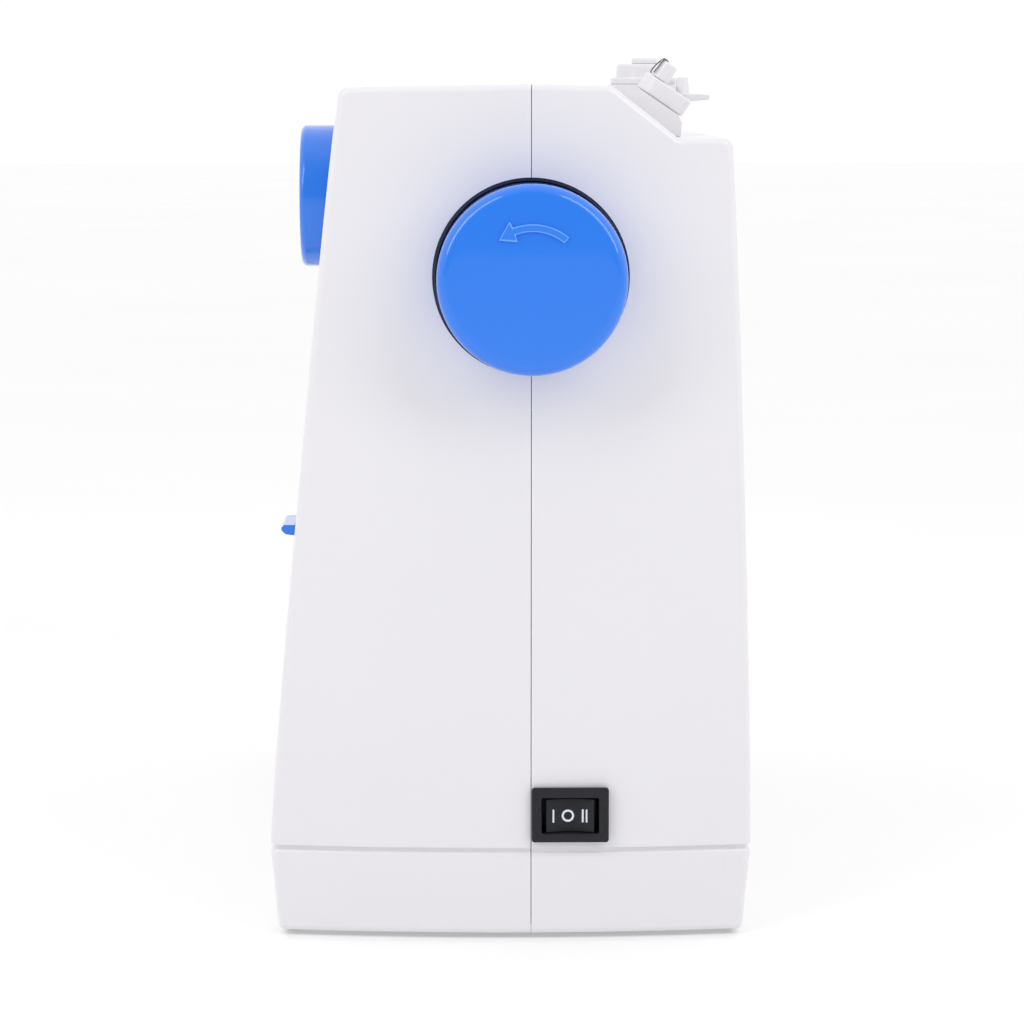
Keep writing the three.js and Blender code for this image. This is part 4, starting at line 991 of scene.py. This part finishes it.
# The wheel cup takes the same painted-shade grey as the ring in the well.
keep(GAP_SHADE_GREY, "wheel_cup")
keep(DEEP_BLACK, "belt_pulley", "motor_pulley", "bobbin_case", "presser_lifter", "power_jack")
keep(PLAIN_WHITE, "upper_timing_gear", "lower_timing_gear", "hook_gear", "pattern_cam")
keep(CLEAR, "bobbin", "bobbin_cover")
keep(SHELL_WHITE, "extension_table", "storage_lid", width=0.8)
keep(LENS, "lamp_lens")


# ------------------------------------------------------------------ stage, light and camera
def build_floor():
    """A pale, faintly shining floor that lifts the shadow under the base."""
    made = Finish("floor_pale")
    tone = made.mix(made.spread(made.noise(3, 3), 0, 1), (0.59, 0.59, 0.592, 1), (0.61, 0.61, 0.61, 1))
    made.feed("Base Color", tone)
    made.feed("Roughness", made.spread(made.noise(30, 4), 0.5, 0.6))
    made.set(Specular_IOR_Level=0.0, Coat_Weight=0.3, Coat_Roughness=0.05,
             Emission_Color=(1, 1, 1, 1), Emission_Strength=0.41)
    made.bump(made.noise(200, 2), 0.01, 0.0002)
    reach = 9000
    square = [(-reach, -reach), (reach, -reach), (reach, reach), (-reach, reach)]
    floor = from_rings("floor", [[(x, y, z) for x, y in square] for z in (-4, 0)])
    floor.data.materials.append(made.material)


def strip_light(name, aim, low, high, width, power):
    """A soft strip whose middle line runs from low to high, turned to face aim."""
    lamp = bpy.data.lights.new(name, "AREA")
    lamp.shape = "RECTANGLE"
    low, high = Vector(low), Vector(high)
    lamp.size, lamp.size_y = width, (high - low).length
    lamp.energy = power
    holder = bpy.data.objects.new(name, lamp)
    bpy.context.scene.collection.objects.link(holder)
    middle = (low + high) / 2
    along = (high - low).normalized()
    away = middle - Vector(aim)
    away = (away - along * away.dot(along)).normalized()
    across = along.cross(away)
    turn = Matrix((across, along, away)).transposed().to_4x4()
    holder.matrix_world = Matrix.Translation(middle) @ turn


def build_light():
    """A white studio, a little dimmer behind the camera, with a soft strip at each side."""
    world = bpy.data.worlds.new("studio")
    bpy.context.scene.world = world
    world.use_nodes = True
    tree = world.node_tree
    background = tree.nodes["Background"]
    background.inputs["Color"].default_value = (1.0, 1.0, 1.0, 1)
    heading = tree.nodes.new("ShaderNodeSeparateXYZ")
    tree.links.new(tree.nodes.new("ShaderNodeTexCoord").outputs["Generated"], heading.inputs[0])
    dim = tree.nodes.new("ShaderNodeMapRange")
    dim.interpolation_type = "SMOOTHSTEP"
    bright, dimmed = 1.03, 0.46
    for key, value in (("From Min", 0.15), ("From Max", 0.8), ("To Min", bright), ("To Max", dimmed)):
        dim.inputs[key].default_value = value
    tree.links.new(heading.outputs["X"], dim.inputs["Value"])
    tree.links.new(dim.outputs["Result"], background.inputs["Strength"])
    wheel = Vector((WHEEL_FACE, SEAM, SHAFT_Z)) * MM
    width, watts = 0.22, 2.15
    for name, side in (("strip_front", -1), ("strip_rear", 1)):
        low = wheel + Vector((0.49, side * 0.84, 0.22))
        high = wheel + Vector((0.55, side * 0.30, 0.78))
        strip_light(name, wheel, low, high, width, watts)


def build_camera():
    """A long lens level with the casing's top, a little towards the operator's side, tipped down."""
    lens = bpy.data.cameras.new("camera")
    lens.sensor_width = 36
    lens.lens = 119.07
    camera = bpy.data.objects.new("camera", lens)
    bpy.context.scene.collection.objects.link(camera)
    camera.location = (1.025, -0.0162, 0.231)
    yaw, pitch = math.radians(1.04), math.radians(7.2)
    ahead = Vector((-math.cos(yaw) * math.cos(pitch), math.sin(yaw) * math.cos(pitch), -math.sin(pitch)))
    camera.rotation_euler = ahead.to_track_quat("-Z", "Y").to_euler()
    bpy.context.scene.camera = camera


build_floor()
build_light()
build_camera()
bpy.context.scene.view_settings.view_transform = "Standard"
